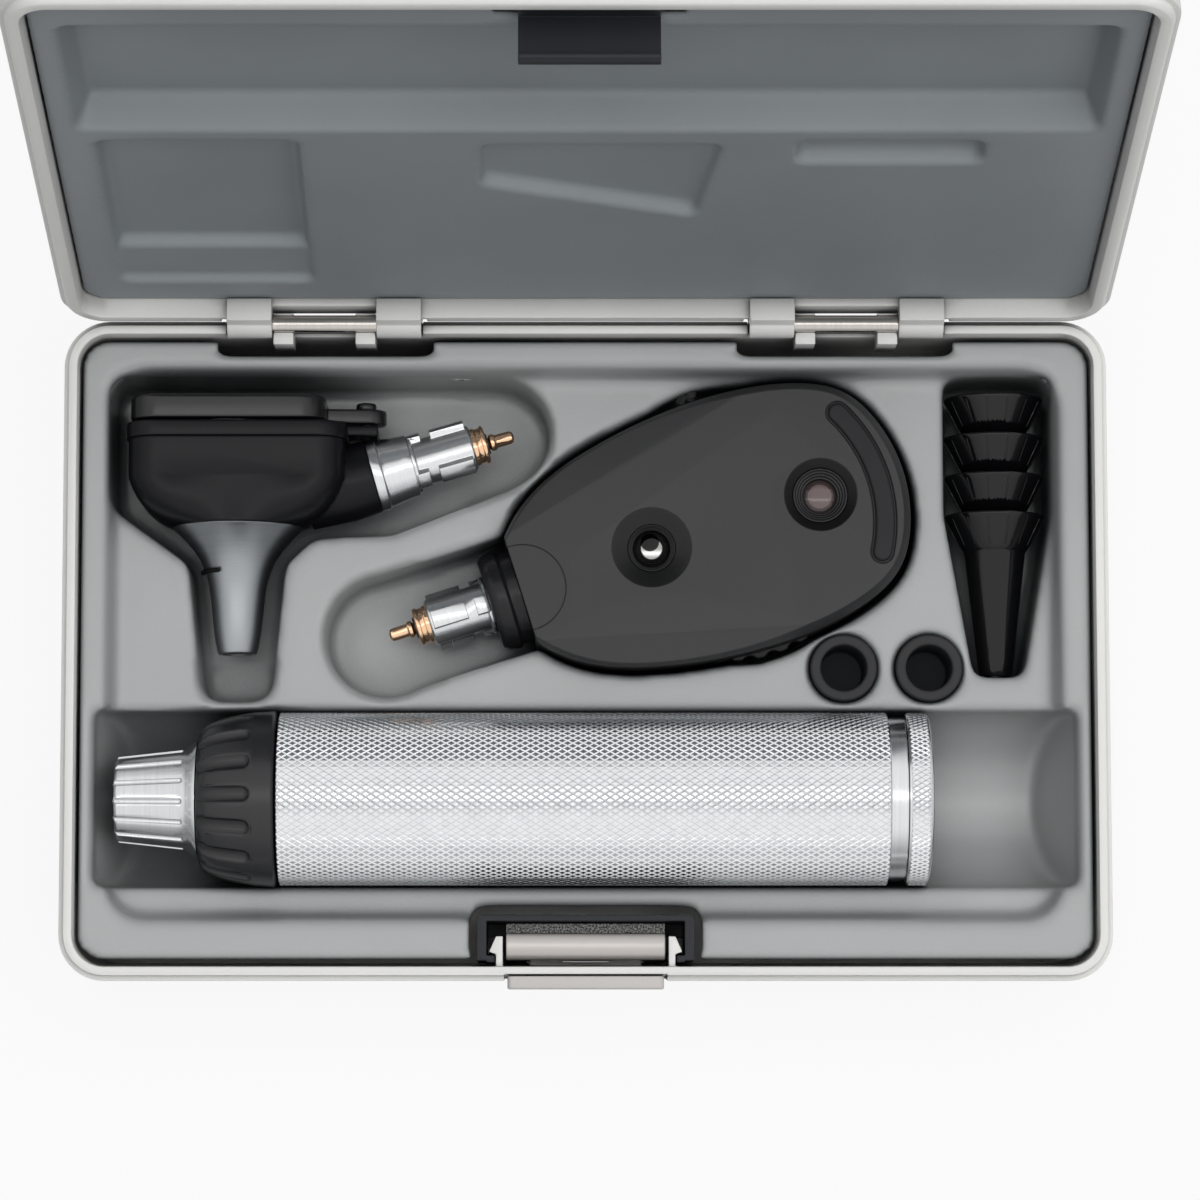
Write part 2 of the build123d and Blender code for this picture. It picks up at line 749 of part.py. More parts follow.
def make_plug(prefix, plane, rib_angle):
    """Bayonet plug with its lamp: ribbed barrel, insulator, gilt contact sleeve and centre pin."""
    face_plane = Plane(plane.origin, x_dir=(0, 0, 1), z_dir=plane.x_dir)
    with BuildPart() as plug:
        turned(
            plane,
            [
                (0, plug_radius - 0.1),
                (0.6, plug_radius - 0.1),
                (0.8, plug_core),
                (plug_length - 0.4, plug_core),
                (plug_length, plug_core - 0.4),
            ],
        )
        with BuildSketch(face_plane.offset(0.3)) as ribs:
            with PolarLocations(plug_radius - 0.9, 3, start_angle=rib_angle):
                Rectangle(2.2, plug_rib_width)
            Circle(plug_radius, mode=Mode.INTERSECT)
        extrude(ribs.sketch, amount=plug_length - 1.0)
        # notches that lock behind the bayonet lugs of the handle
        with BuildSketch(face_plane.offset(2.5)) as notch:
            Circle(plug_radius + 1)
            Circle(plug_core, mode=Mode.SUBTRACT)
        extrude(notch.sketch, amount=1.8, mode=Mode.SUBTRACT)
        drum(face_plane, plug_length - 2.0, 3.0, sleeve_radius + 0.1, Mode.SUBTRACT)
    finish(plug, f"{prefix}_plug")
    with BuildPart() as sleeve:
        turned(
            plane,
            [
                (plug_length - 1.9, sleeve_radius),
                (plug_length + 0.6, sleeve_radius),
                (plug_length + 0.8, sleeve_radius - 0.25),
                (plug_length + 1.5, sleeve_radius - 0.25),
                (plug_length + 1.7, sleeve_radius),
                (plug_length + sleeve_length - 0.2, sleeve_radius),
                (plug_length + sleeve_length, sleeve_radius - 0.3),
            ],
            bore=2.0,
        )
    finish(sleeve, f"{prefix}_contact_sleeve")
    with BuildPart() as insulator:
        turned(
            plane,
            [
                (plug_length - 1.9, 2.0),
                (plug_length + sleeve_length, 2.0),
                (plug_length + sleeve_length + 0.3, 1.8),
            ],
            bore=pin_radius,
        )
    finish(insulator, f"{prefix}_insulator")
    tip = plug_length + sleeve_length + pin_length
    with BuildPart() as pin:
        turned(
            plane,
            [
                (plug_length - 1.9, pin_radius),
                (plug_length + sleeve_length + 0.4, pin_radius),
                (plug_length + sleeve_length + 0.7, 1.55),
                (plug_length + sleeve_length + 1.3, 1.55),
                (plug_length + sleeve_length + 1.7, pin_radius),
                (tip - 1.0, pin_radius),
                (tip - 0.3, pin_radius * 0.7),
                (tip, pin_radius * 0.3),
            ],
        )
    finish(pin, f"{prefix}_contact_pin")


# ---- Otoscope head ---------------------------------------------------------------------------------

ear_flange_end = 40.0
ear_neck = along(ear_plug_start, ear_plug_angle, ear_z)
back_plane = Plane(origin=(ear_axis_x, 0, ear_z), x_dir=(1, 0, 0), z_dir=(0, 1, 0))
view_radius = 8.5
lug_y = (38.2, ear_flange_end)
with BuildPart() as ear_housing:
    # back flange that carries the window
    with BuildSketch(back_plane.offset(ear_back_y)):
        RectangleRounded(ear_width, 2 * ear_half_height, ear_corner)
    extrude(amount=ear_flange_end - ear_back_y)
    # shoulders running into the round cone seat
    with BuildSketch(back_plane.offset(30.5)):
        RectangleRounded(ear_width - 0.6, 2 * ear_half_height - 0.4, ear_corner)
    extrude(amount=ear_back_y - 30.5)
    with BuildSketch(back_plane.offset(30.5)):
        RectangleRounded(ear_width - 0.6, 2 * ear_half_height - 0.4, ear_corner)
    with BuildSketch(back_plane.offset(25.5)):
        RectangleRounded(32.5, 2 * ear_half_height - 0.7, ear_corner + 1)
    with BuildSketch(back_plane.offset(cone_start_y)):
        Circle(cone_radius)
    loft()
    # neck towards the plug
    turned(ear_neck, [(-20.0, 6.2), (-12.0, 6.8), (-ear_neck_length, ear_neck_radius)])
    # lug behind the window pivot
    block((-44.0, -36.4), lug_y, (ear_z - 4, ear_z + 4))
    drum(back_plane, cone_start_y - 1, ear_flange_end - cone_start_y + 2, view_radius, Mode.SUBTRACT)
    pivot_plane = Plane(origin=(ear_pivot_x, 0, ear_z), x_dir=(1, 0, 0), z_dir=(0, 1, 0))
    drum(pivot_plane, lug_y[0] - 1, 4, 1.2 + running_clearance / 5, Mode.SUBTRACT)
finish(ear_housing, "otoscope_housing")

with BuildPart() as ear_neck_ring:
    turned(
        ear_neck,
        [
            (-ear_neck_length, ear_neck_radius),
            (-ear_neck_length + 1.6, ear_neck_radius),
            (-ear_neck_length + 1.8, ear_neck_radius - 0.3),
            (-3.4, ear_neck_radius - 0.6),
            (-1.2, plug_radius + 0.35),
            (0, plug_radius + 0.35),
        ],
    )
finish(ear_neck_ring, "otoscope_neck_ring")
make_plug("otoscope", ear_neck, 47)

cone_plane = Plane(origin=(ear_axis_x, cone_start_y, ear_z), x_dir=(0, -1, 0), z_dir=(1, 0, 0))
with BuildPart() as ear_cone:
    with BuildSketch(cone_plane) as wall:
        with BuildLine() as edge:
            flare = Spline(
                (0, cone_radius),
                (2.2, 9.3),
                (6.4, 6.3),
                (14.0, 4.6),
                (cone_length, cone_tip_radius),
            )
            Line(flare @ 1, (cone_length, cone_tip_radius - 0.8))
            bore_line = Spline(
                (cone_length, cone_tip_radius - 0.8),
                (14.0, 4.6 - cone_wall),
                (6.4, 6.3 - cone_wall),
                (2.2, 9.3 - cone_wall - 0.3),
                (0, cone_radius - cone_wall - 1.4),
            )
            Line(bore_line @ 1, flare @ 0)
        make_face(edge.edges())
    revolve(axis=Axis(cone_plane.origin, cone_plane.x_dir))
finish(ear_cone, "otoscope_cone")

window_y = ear_flange_end + 0.4
window_centre = -79.6 + window_length / 2
window_plane = Plane(origin=(window_centre, 0, ear_z), x_dir=(1, 0, 0), z_dir=(0, 1, 0))
window_opening = 9.6
lens_rise = 1.1
lens_curve = (window_opening**2 + lens_rise**2) / (2 * lens_rise)
arm_y = (window_y, window_y + 2.6)
arm_root_x = -48.5
arm_half = 3.6
with BuildPart() as window_frame:
    with BuildSketch(window_plane.offset(window_y)):
        RectangleRounded(window_length, 2 * ear_half_height - 0.6, ear_corner)
    extrude(amount=window_thickness)
    fillet(window_frame.faces().sort_by(Axis.Y)[-1].edges(), radius=0.8)
    with BuildSketch(Plane.XY.offset(ear_z - arm_half)):
        with Locations(((arm_root_x + ear_pivot_x) / 2, (arm_y[0] + arm_y[1]) / 2)):
            Rectangle(ear_pivot_x - arm_root_x, arm_y[1] - arm_y[0])
    extrude(amount=2 * arm_half)
    drum(pivot_plane, arm_y[0], arm_y[1] - arm_y[0], arm_half)
    drum(window_plane, window_y - 1, window_thickness + 2, window_opening, Mode.SUBTRACT)
    drum(pivot_plane, window_y - 1, window_thickness + 2, 1.2 + running_clearance, Mode.SUBTRACT)
finish(window_frame, "otoscope_window_frame")

with BuildPart() as window_lens:
    with BuildSketch(Plane(origin=(window_centre, 0, ear_z), x_dir=(0, 1, 0), z_dir=(-1, 0, 0))):
        with BuildLine():
            lens_back = window_y + 0.8
            lens_edge = window_y + 2.4
            crown = CenterArc(
                (lens_edge + lens_rise - lens_curve, 0),
                lens_curve,
                0,
                degrees(asin(window_opening / lens_curve)),
            )
            Polyline(crown @ 1, (lens_back, window_opening), (lens_back, 0), crown @ 0)
        make_face()
    revolve(axis=Axis((window_centre, 0, ear_z), (0, 1, 0)))
finish(window_lens, "otoscope_window_lens")

with BuildPart() as window_screw:
    drum(pivot_plane, lug_y[0], arm_y[1] + 0.1 - lug_y[0], 1.2)
    drum(pivot_plane, arm_y[1] + 0.1, 1.3, 1.8)
    chamfer(window_screw.faces().sort_by(Axis.Y)[-1].edges(), length=0.3)
finish(window_screw, "otoscope_window_screw")

# ---- Ophthalmoscope head ---------------------------------------------------------------------------

eye_mid = eye_plane.offset(eye_z)
eye_direction = (cos(radians(eye_axis_angle)), sin(radians(eye_axis_angle)))
eye_plug_plane = Plane(
    origin=(
        eye_plug_end[0] + eye_plug_sink * eye_direction[0],
        eye_plug_end[1] + eye_plug_sink * eye_direction[1],
        eye_z,
    ),
    x_dir=(-eye_direction[0], -eye_direction[1], 0),
    z_dir=(-eye_direction[1], eye_direction[0], 0),
)
eyepiece_at = (wheel_centre + lens_circle, 0)
display_at = (wheel_centre - lens_circle + 0.9, 0)
bevel_depth = 1.8
bevel_width = 1.3
wheel_room = 0.3
eyepiece_bowl = 6.4
eyepiece_hole = 4.8
display_bowl = 7.0
display_hole = 4.1
bowl_depth = 1.5
ring_depth = 3.4
flat_lean = 12.0
dish_depth = 0.5
brow_bed = 0.5
brow_room = 0.35
brow_width = 3.4
brow_half_angle = 29.0
brow_reach = 72.4
with BuildLine() as brow_arc:
    CenterArc((brow_reach - brow_radius, 0), brow_radius, -brow_half_angle, 2 * brow_half_angle)
brow_line = brow_arc.edges()[0]
for name, direction in (("ophthalmoscope_front_cover", 1), ("ophthalmoscope_rear_cover", -1)):
    with BuildPart() as cover:
        with BuildSketch(eye_mid):
            eye_head_outline()
        extrude(amount=direction * (eye_half_height - bevel_depth))
        with BuildSketch(eye_mid.offset(direction * (eye_half_height - bevel_depth))):
            eye_head_outline()
        with BuildSketch(eye_mid.offset(direction * eye_half_height)):
            eye_head_outline(-bevel_width)
        loft()
        with BuildSketch(eye_mid):
            with Locations((wheel_centre, 0)):
                Circle(wheel_radius + wheel_room)
        extrude(amount=direction * (wheel_thickness / 2 + 0.2), mode=Mode.SUBTRACT)
        if direction > 0:
            # flats that run from the collar to the widest part of the face
            for side in (-1, 1):
                start = eye_mid.from_local_coords((7.0, side * 9.4, eye_half_height))
                far_end = eye_mid.from_local_coords((54.0, side * 21.4, eye_half_height))
                run = (far_end - start).normalized()
                outward = Vector(-run.Y, run.X, 0) * side
                lean = Vector(0, 0, cos(radians(flat_lean))) + outward * sin(radians(flat_lean))
                with BuildSketch(Plane(start, x_dir=run, z_dir=lean)) as flat:
                    with Locations((23, 0)):
                        Rectangle(70, 30)
                extrude(flat.sketch, amount=6, mode=Mode.SUBTRACT)
            # thumb dish behind the collar and bed of the brow rest
            with BuildSketch(eye_mid.offset(eye_half_height - dish_depth)) as dish:
                with Locations((7.4, 0)):
                    Circle(7.6)
            extrude(dish.sketch, amount=3, mode=Mode.SUBTRACT)
            with BuildSketch(eye_mid.offset(eye_half_height - brow_bed)) as bed:
                SlotArc(brow_line, brow_width + 2 * brow_room)
            extrude(bed.sketch, amount=3, mode=Mode.SUBTRACT)
            for centre, bowl, hole in (
                (eyepiece_at, eyepiece_bowl, eyepiece_hole),
                (display_at, display_bowl, display_hole),
            ):
                slope = (bowl - hole) / bowl_depth
                with Locations(eye_mid.offset(eye_half_height - bowl_depth / 2 + 0.5)):
                    with Locations((*centre, 0)):
                        Cone(hole, bowl + slope, bowl_depth + 1, mode=Mode.SUBTRACT)
                with BuildSketch(eye_mid.offset(eye_half_height - bowl_depth + 0.1)) as well:
                    with Locations(centre):
                        Circle(hole)
                extrude(well.sketch, amount=-ring_depth - 0.1, mode=Mode.SUBTRACT)
    finish(cover, name)

with BuildPart() as lens_wheel:
    with BuildSketch(eye_mid.offset(-wheel_thickness / 2)):
        with Locations((wheel_centre, 0)):
            Circle(wheel_radius)
        with Locations((wheel_centre, 0)):
            with PolarLocations(wheel_radius + 0.9, 36):
                Circle(1.6, mode=Mode.SUBTRACT)
    extrude(amount=wheel_thickness)
    with BuildSketch(eye_mid.offset(wheel_thickness / 2)):
        with Locations((wheel_centre, 0)):
            with PolarLocations(lens_circle, 16):
                Circle(2.1)
    extrude(amount=-0.5, mode=Mode.SUBTRACT)
finish(lens_wheel, "ophthalmoscope_lens_wheel")

ring_steps = 4
for name, centre, outer, inner in (
    ("ophthalmoscope_eyepiece_ring", eyepiece_at, eyepiece_hole, 3.0),
    ("ophthalmoscope_display_ring", display_at, display_hole, 3.3),
):
    with BuildPart() as ring:
        with BuildSketch(eye_mid.offset(eye_half_height - bowl_depth - ring_depth)):
            with Locations(centre):
                Circle(outer)
                Circle(inner, mode=Mode.SUBTRACT)
        extrude(amount=ring_depth + 0.2)
        # concentric steps down to the lens
        for step in range(1, ring_steps):
            with BuildSketch(eye_mid.offset(eye_half_height - bowl_depth + 0.2 - step * 0.45)) as tread:
                with Locations(centre):
                    Circle(inner + (outer - inner) * (ring_steps - step) / ring_steps)
            extrude(tread.sketch, amount=2, mode=Mode.SUBTRACT)
    finish(ring, name)

for name, centre, radius, rise in (
    ("ophthalmoscope_eyepiece_lens", eyepiece_at, 3.0, 0.5),
    ("ophthalmoscope_display_lens", display_at, 3.3, 1.5),
):
    lens_base = eye_half_height - bowl_depth - ring_depth
    with BuildPart() as lens:
        with BuildSketch(eye_mid.offset(lens_base)):
            with Locations(centre):
                Circle(radius)
        extrude(amount=1.4)
        with BuildSketch(eye_mid.offset(lens_base + 1.4)):
            with Locations(centre):
                Circle(radius)
        with BuildSketch(eye_mid.offset(lens_base + 1.4 + rise)):
            with Locations(centre):
                Circle(radius * 0.55)
        loft()
    finish(lens, name)

with BuildPart() as brow_rest:
    with BuildSketch(eye_mid.offset(eye_half_height - brow_bed)):
        SlotArc(brow_line, brow_width)
    extrude(amount=brow_bed + 0.8)
    fillet(brow_rest.faces().sort_by(Axis.Z)[-1].edges(), radius=0.6)
finish(brow_rest, "ophthalmoscope_brow_rest")

with BuildPart() as eye_collar:
    turned(
        along(eye_plug_end, eye_axis_angle, eye_z),
        [
            (eye_plug_sink, collar_radius - 1.1),
            (2.4, collar_radius - 0.3),
            (4.4, collar_radius),
            (5.0, collar_radius - 0.6),
            (7.0, collar_radius - 0.3),
        ],
    )
finish(eye_collar, "ophthalmoscope_collar")
make_plug("ophthalmoscope", eye_plug_plane, 0)

# ---- Battery handle --------------------------------------------------------------------------------

handle_axis = Plane(origin=(0, handle_y, handle_z), x_dir=(1, 0, 0), z_dir=(0, -1, 0))
socket_start = tube_start - 0.2 - collar_length - socket_length
collar_start = tube_start - 0.2 - collar_length
tube_bore = handle_radius - handle_wall
plunger_radius = 1.5
with BuildPart() as handle_tube:
    turned(
        handle_axis,
        [
            (tube_start, handle_radius - 0.5),
            (tube_start + 0.5, handle_radius),
            (tube_end, handle_radius),
        ],
    )
    drum(handle_plane, tube_start + 2.0, tube_length, tube_bore, Mode.SUBTRACT)
    drum(handle_plane, tube_start - 1, 4, stem_radius, Mode.SUBTRACT)
finish(handle_tube, "handle_tube")


def slanted_groove(near, far, cutter_radius, depth):
    """Round-nosed cutter laid along a taper between two (distance, radius) points of the handle's axis."""
    rise = atan2(far[1] - near[1], far[0] - near[0])
    lift = cutter_radius - depth
    run = Vector(sin(rise), 0, cos(rise))
    start = Vector(near[1] + lift, 0, near[0]) - run * 2
    nose = Vector(far[1] + lift, 0, far[0])
    with BuildPart() as cutter:
        with BuildSketch(Plane(start, z_dir=run)) as section:
            Circle(cutter_radius)
        extrude(section.sketch, amount=(nose - start).length)
        with Locations(nose):
            Sphere(cutter_radius)
    return cutter.part


collar_bore = stem_radius + running_clearance
flute_count = 16
flute_radius = 1.5
flute_depth = 0.75
flute_length = 7.2
flute = slanted_groove(
    (collar_start + 0.8, collar_small_radius),
    (collar_start + 0.8 + flute_length, handle_radius - 1.3),
    flute_radius,
    flute_depth,
)
with BuildPart() as handle_collar:
    turned(
        handle_axis,
        [
            (collar_start, collar_small_radius - 0.6),
            (collar_start + 0.8, collar_small_radius),
            (collar_start + 9.6, handle_radius - 1.0),
            (collar_start + 10.4, handle_radius + 0.1),
            (collar_start + collar_length - 0.4, handle_radius + 0.2),
            (collar_start + collar_length, handle_radius - 0.2),
        ],
        bore=collar_bore,
    )
    with Locations(handle_plane):
        with PolarLocations(0, flute_count):
            add(flute, mode=Mode.SUBTRACT)
finish(handle_collar, "handle_dimmer_collar")

groove_count = 15
socket_bore = plug_radius + 0.9
socket_bore_depth = 13.0
groove_radius = 0.5
groove_depth = 0.42
groove_length = 10.9
groove = slanted_groove(
    (socket_start + 0.5, socket_small_radius),
    (socket_start + 0.5 + groove_length, socket_large_radius - 0.85),
    groove_radius,
    groove_depth,
)
with BuildPart() as handle_socket:
    turned(
        handle_axis,
        [
            (socket_start, socket_small_radius - 0.5),
            (socket_start + 0.5, socket_small_radius),
            (socket_start + 12.0, socket_large_radius - 0.8),
            (socket_start + socket_length - 0.3, socket_large_radius + 0.6),
            (socket_start + socket_length - 0.1, socket_large_radius),
        ],
    )
    with Locations(handle_plane):
        with PolarLocations(0, groove_count):
            add(groove, mode=Mode.SUBTRACT)
    stem_start = socket_start + socket_length - 0.1
    drum(handle_plane, stem_start, tube_start + 2.0 - stem_start, stem_radius)
    drum(handle_plane, socket_start - 1, socket_bore_depth + 1, socket_bore, Mode.SUBTRACT)
    drum(handle_plane, socket_start, tube_start - socket_start + 3, plunger_radius + 0.6, Mode.SUBTRACT)
finish(handle_socket, "handle_socket")

with BuildPart() as contact_plunger:
    turned(
        handle_axis,
        [
            (socket_start + socket_bore_depth - 3.0, 0.6),
            (socket_start + socket_bore_depth - 2.2, plunger_radius),
            (tube_start + 2.6, plunger_radius),
            (tube_start + 2.6, 3.4),
            (tube_start + 3.4, 3.4),
        ],
    )
finish(contact_plunger, "handle_contact_plunger")

with BuildPart() as insulator_bush:
    turned(
        handle_axis,
        [
            (socket_start + socket_bore_depth - 1.4, plunger_radius + 0.6),
            (tube_start + 2.0, plunger_radius + 0.6),
            (tube_start + 2.6, plunger_radius + 0.6),
        ],
        bore=plunger_radius,
    )
finish(insulator_bush, "handle_insulator_bush")

cell_start = tube_start + 3.7
for index, name in enumerate(("front", "rear")):
    start = cell_start + index * (cell_length + 0.1)
    with BuildPart() as cell:
        turned(
            handle_axis,
            [
                (start, 3.3),
                (start + 1.4, 3.3),
                (start + 1.4, cell_radius - 0.6),
                (start + 2.0, cell_radius),
                (start + cell_length - 0.5, cell_radius),
                (start + cell_length, cell_radius - 0.5),
            ],
        )
    finish(cell, f"battery_cell_{name}")

cap_start = tube_end + 0.1
spigot_length = 2.6
cap_bore = tube_bore - 1.4
cap_face = 1.4
with BuildPart() as end_cap:
    turned(
        handle_axis,
        [
            (cap_start - spigot_length, tube_bore - running_clearance),
            (cap_start, tube_bore - running_clearance),
            (cap_start, handle_radius),
            (cap_start + cap_length - 0.5, handle_radius),
            (cap_start + cap_length, handle_radius - 0.5),
        ],
    )
    hollow_start = cap_start - spigot_length - 1
    hollow_end = cap_start + cap_length - cap_face
    drum(handle_plane, hollow_start, hollow_end - hollow_start, cap_bore, Mode.SUBTRACT)
finish(end_cap, "handle_end_cap")

spring_start = cell_start + 2 * cell_length + 0.4
spring_end = cap_start + cap_length - cap_face - 0.05
spring_turns = 4
wire_radius = 0.45
spring_small = 5.0
spring_large = 9.5
with BuildPart() as cap_spring:
    with BuildLine() as coil:
        Helix(
            pitch=(spring_end - spring_start - 2 * wire_radius) / spring_turns,
            height=spring_end - spring_start - 2 * wire_radius,
            radius=spring_small,
            center=(spring_start + wire_radius, handle_y, handle_z),
            direction=(1, 0, 0),
            cone_angle=degrees(atan2(spring_large - spring_small, spring_end - spring_start)),
        )
    with BuildSketch(coil.line ^ 0):
        Circle(wire_radius)
    sweep()
finish(cap_spring, "handle_cap_spring")

# ---- Ear specula: nested funnels -------------------------------------------------------------------

for index in range(specula_count):
    rim_y = specula_rim_y + index * specula_pitch
    speculum_plane = Plane(origin=(specula_x, rim_y, specula_z), x_dir=(0, -1, 0), z_dir=(1, 0, 0))
    profile = [
        (0, specula_rim_radius - 0.3),
        (0.4, specula_rim_radius),
        (2.6, specula_rim_radius - 0.3),
        (6.0, 5.9),
        (6.6, 5.4),
        (specula_length, 2.9),
    ]
    with BuildPart() as speculum:
        with BuildSketch(speculum_plane) as wall:
            with BuildLine() as edge:
                inside = [(d, r - specula_wall) for d, r in reversed(profile)]
                Polyline(*profile, *inside, close=True)
            make_face(edge.edges())
        revolve(axis=Axis(speculum_plane.origin, speculum_plane.x_dir))
    finish(speculum, f"speculum_{index + 1}")
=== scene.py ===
import json
from math import cos, radians, sin, tau

import bpy
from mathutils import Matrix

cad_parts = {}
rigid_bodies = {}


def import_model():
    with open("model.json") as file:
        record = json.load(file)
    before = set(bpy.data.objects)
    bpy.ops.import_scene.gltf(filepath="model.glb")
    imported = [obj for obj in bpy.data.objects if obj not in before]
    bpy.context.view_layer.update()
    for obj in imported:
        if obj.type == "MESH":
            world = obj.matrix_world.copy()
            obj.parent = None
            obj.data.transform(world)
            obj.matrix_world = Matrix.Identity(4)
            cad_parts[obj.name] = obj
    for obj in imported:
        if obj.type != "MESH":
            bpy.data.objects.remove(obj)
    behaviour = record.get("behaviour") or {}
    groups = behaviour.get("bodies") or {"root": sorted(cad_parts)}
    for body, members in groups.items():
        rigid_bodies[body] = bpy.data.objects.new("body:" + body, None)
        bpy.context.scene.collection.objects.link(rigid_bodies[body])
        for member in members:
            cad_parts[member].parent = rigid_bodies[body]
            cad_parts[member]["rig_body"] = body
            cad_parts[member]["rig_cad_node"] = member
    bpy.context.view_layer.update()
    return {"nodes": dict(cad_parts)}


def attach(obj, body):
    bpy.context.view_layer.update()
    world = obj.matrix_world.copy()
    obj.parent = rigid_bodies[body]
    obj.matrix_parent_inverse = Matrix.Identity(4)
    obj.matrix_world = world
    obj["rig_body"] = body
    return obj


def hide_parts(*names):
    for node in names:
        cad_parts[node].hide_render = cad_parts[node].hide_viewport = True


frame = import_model()

# ---- Base shell ----------------------------------------------------------------------------------
# The lower half of the case, one injection moulding in light warm grey ABS with a fine eroded grain.
# The rim steps in for the lid, and the back wall carries the cradles of the two hinge pins.


def tint(red, green, blue):
    """Linear colour of a finish given in ordinary 0 to 255 values."""
    shares = (red / 255, green / 255, blue / 255)
    return tuple(((c + 0.055) / 1.055) ** 2.4 if c > 0.04 else c / 12.92 for c in shares)


def satin_plastic(name, colour, roughness, grain, relief, cloud=0.05, shine=0.5):
    """Moulded plastic: an eroded grain in relief, a slightly cloudy colour and an uneven gloss."""
    material = bpy.data.materials.new(name)
    material.use_nodes = True
    nodes = material.node_tree.nodes
    links = material.node_tree.links
    shader = nodes["Principled BSDF"]
    shader.inputs["Specular IOR Level"].default_value = shine
    place = nodes.new("ShaderNodeTexCoord")
    clouds = nodes.new("ShaderNodeTexNoise")
    clouds.inputs["Scale"].default_value = 55
    clouds.inputs["Detail"].default_value = 6
    shade = nodes.new("ShaderNodeValToRGB")
    shade.color_ramp.elements[0].position = 0.32
    shade.color_ramp.elements[0].color = (*[(1 - cloud) * c for c in colour], 1)
    shade.color_ramp.elements[1].position = 0.68
    shade.color_ramp.elements[1].color = (*[min((1 + cloud) * c, 1) for c in colour], 1)
    gloss = nodes.new("ShaderNodeMapRange")
    gloss.inputs["To Min"].default_value = max(roughness - 0.06, 0.02)
    gloss.inputs["To Max"].default_value = roughness + 0.06
    pits = nodes.new("ShaderNodeTexNoise")
    pits.inputs["Scale"].default_value = grain
    pits.inputs["Detail"].default_value = 3
    bump = nodes.new("ShaderNodeBump")
    bump.inputs["Distance"].default_value = relief
    links.new(place.outputs["Object"], clouds.inputs["Vector"])
    links.new(place.outputs["Object"], pits.inputs["Vector"])
    links.new(clouds.outputs["Fac"], shade.inputs["Fac"])
    links.new(shade.outputs["Color"], shader.inputs["Base Color"])
    links.new(clouds.outputs["Fac"], gloss.inputs["Value"])
    links.new(gloss.outputs["Result"], shader.inputs["Roughness"])
    links.new(pits.outputs["Fac"], bump.inputs["Height"])
    links.new(bump.outputs["Normal"], shader.inputs["Normal"])
    return material


def merged_copy(node, name, body, material):
    """The solid of one node as a piece of its own, welded, with one finish all over."""
    bpy.ops.object.select_all(action="DESELECT")
    frame["nodes"][node].select_set(True)
    bpy.context.view_layer.objects.active = frame["nodes"][node]
    bpy.ops.object.duplicate()
    bpy.ops.object.parent_clear(type="CLEAR")
    piece = bpy.context.active_object
    piece.name = name
    piece.data.name = name
    del piece["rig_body"], piece["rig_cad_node"]
    piece.data.materials.clear()
    piece.data.materials.append(material)
    bpy.ops.mesh.customdata_custom_splitnormals_clear()
    bpy.ops.object.mode_set(mode="EDIT")
    bpy.ops.mesh.select_all(action="SELECT")
    bpy.ops.mesh.remove_doubles(threshold=0.000002)
    bpy.ops.object.mode_set(mode="OBJECT")
    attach(piece, body)
    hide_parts(node)
    return piece


def broken_edges(piece, width, steps=2, crease=32):
    """Takes the sharpness off every edge, as a mould or a deburring wheel does."""
    bpy.context.view_layer.objects.active = piece
    bpy.ops.object.mode_set(mode="EDIT")
    bpy.ops.mesh.select_all(action="SELECT")
    bpy.ops.mesh.dissolve_limited(angle_limit=radians(0.4))
    bpy.ops.object.mode_set(mode="OBJECT")
    bevel = piece.modifiers.new("edges", "BEVEL")
    bevel.width = width
    bevel.segments = steps
    bevel.limit_method = "ANGLE"
    bevel.angle_limit = radians(crease)
    bevel.use_clamp_overlap = False
    bpy.ops.object.modifier_apply(modifier=bevel.name)
    bpy.ops.object.shade_smooth_by_angle(angle=radians(crease))
    return piece


shell_grey = satin_plastic("shell_grey", tint(201, 200, 197), 0.42, 2600, 0.000012, 0.015)
shell_edge = 0.00022
base_shell = merged_copy("base_shell", "base_shell_moulding", "base", shell_grey)
broken_edges(base_shell, shell_edge)

# ---- Base tray -----------------------------------------------------------------------------------
# A liner drawn from one warm sheet of grey polystyrene over a mould, so every edge of its pockets is
# soft and round. A finger room opens round each plug, and the long trough takes the handle.


def drawn_sheet(piece, grid, passes, triangles, soft=None):
    """Rebuilds a liner on a fine even grid and lets its corners relax, as drawn sheet does."""
    bpy.context.view_layer.objects.active = piece
    remesh = piece.modifiers.new("grid", "REMESH")
    remesh.mode = "VOXEL"
    remesh.voxel_size = grid
    bpy.ops.object.modifier_apply(modifier=remesh.name)
    bpy.ops.object.mode_set(mode="EDIT")
    bpy.ops.mesh.select_all(action="DESELECT")
    bpy.ops.object.mode_set(mode="OBJECT")
    for corner in piece.data.vertices:
        corner.select = soft is None or soft(corner.co)
    bpy.ops.object.mode_set(mode="EDIT")
    bpy.ops.mesh.select_mode(type="VERT")
    bpy.ops.mesh.vertices_smooth(factor=0.5, repeat=passes)
    bpy.ops.mesh.select_all(action="SELECT")
    bpy.ops.mesh.vertices_smooth(factor=0.5, repeat=3)
    bpy.ops.object.mode_set(mode="OBJECT")
    count = sum(len(face.vertices) - 2 for face in piece.data.polygons)
    if count > triangles:
        thin = piece.modifiers.new("thin", "DECIMATE")
        thin.ratio = triangles / count
        bpy.ops.object.modifier_apply(modifier=thin.name)
    bpy.ops.object.mode_set(mode="EDIT")
    bpy.ops.mesh.select_all(action="SELECT")
    bpy.ops.mesh.faces_shade_smooth()
    bpy.ops.object.mode_set(mode="OBJECT")
    return piece


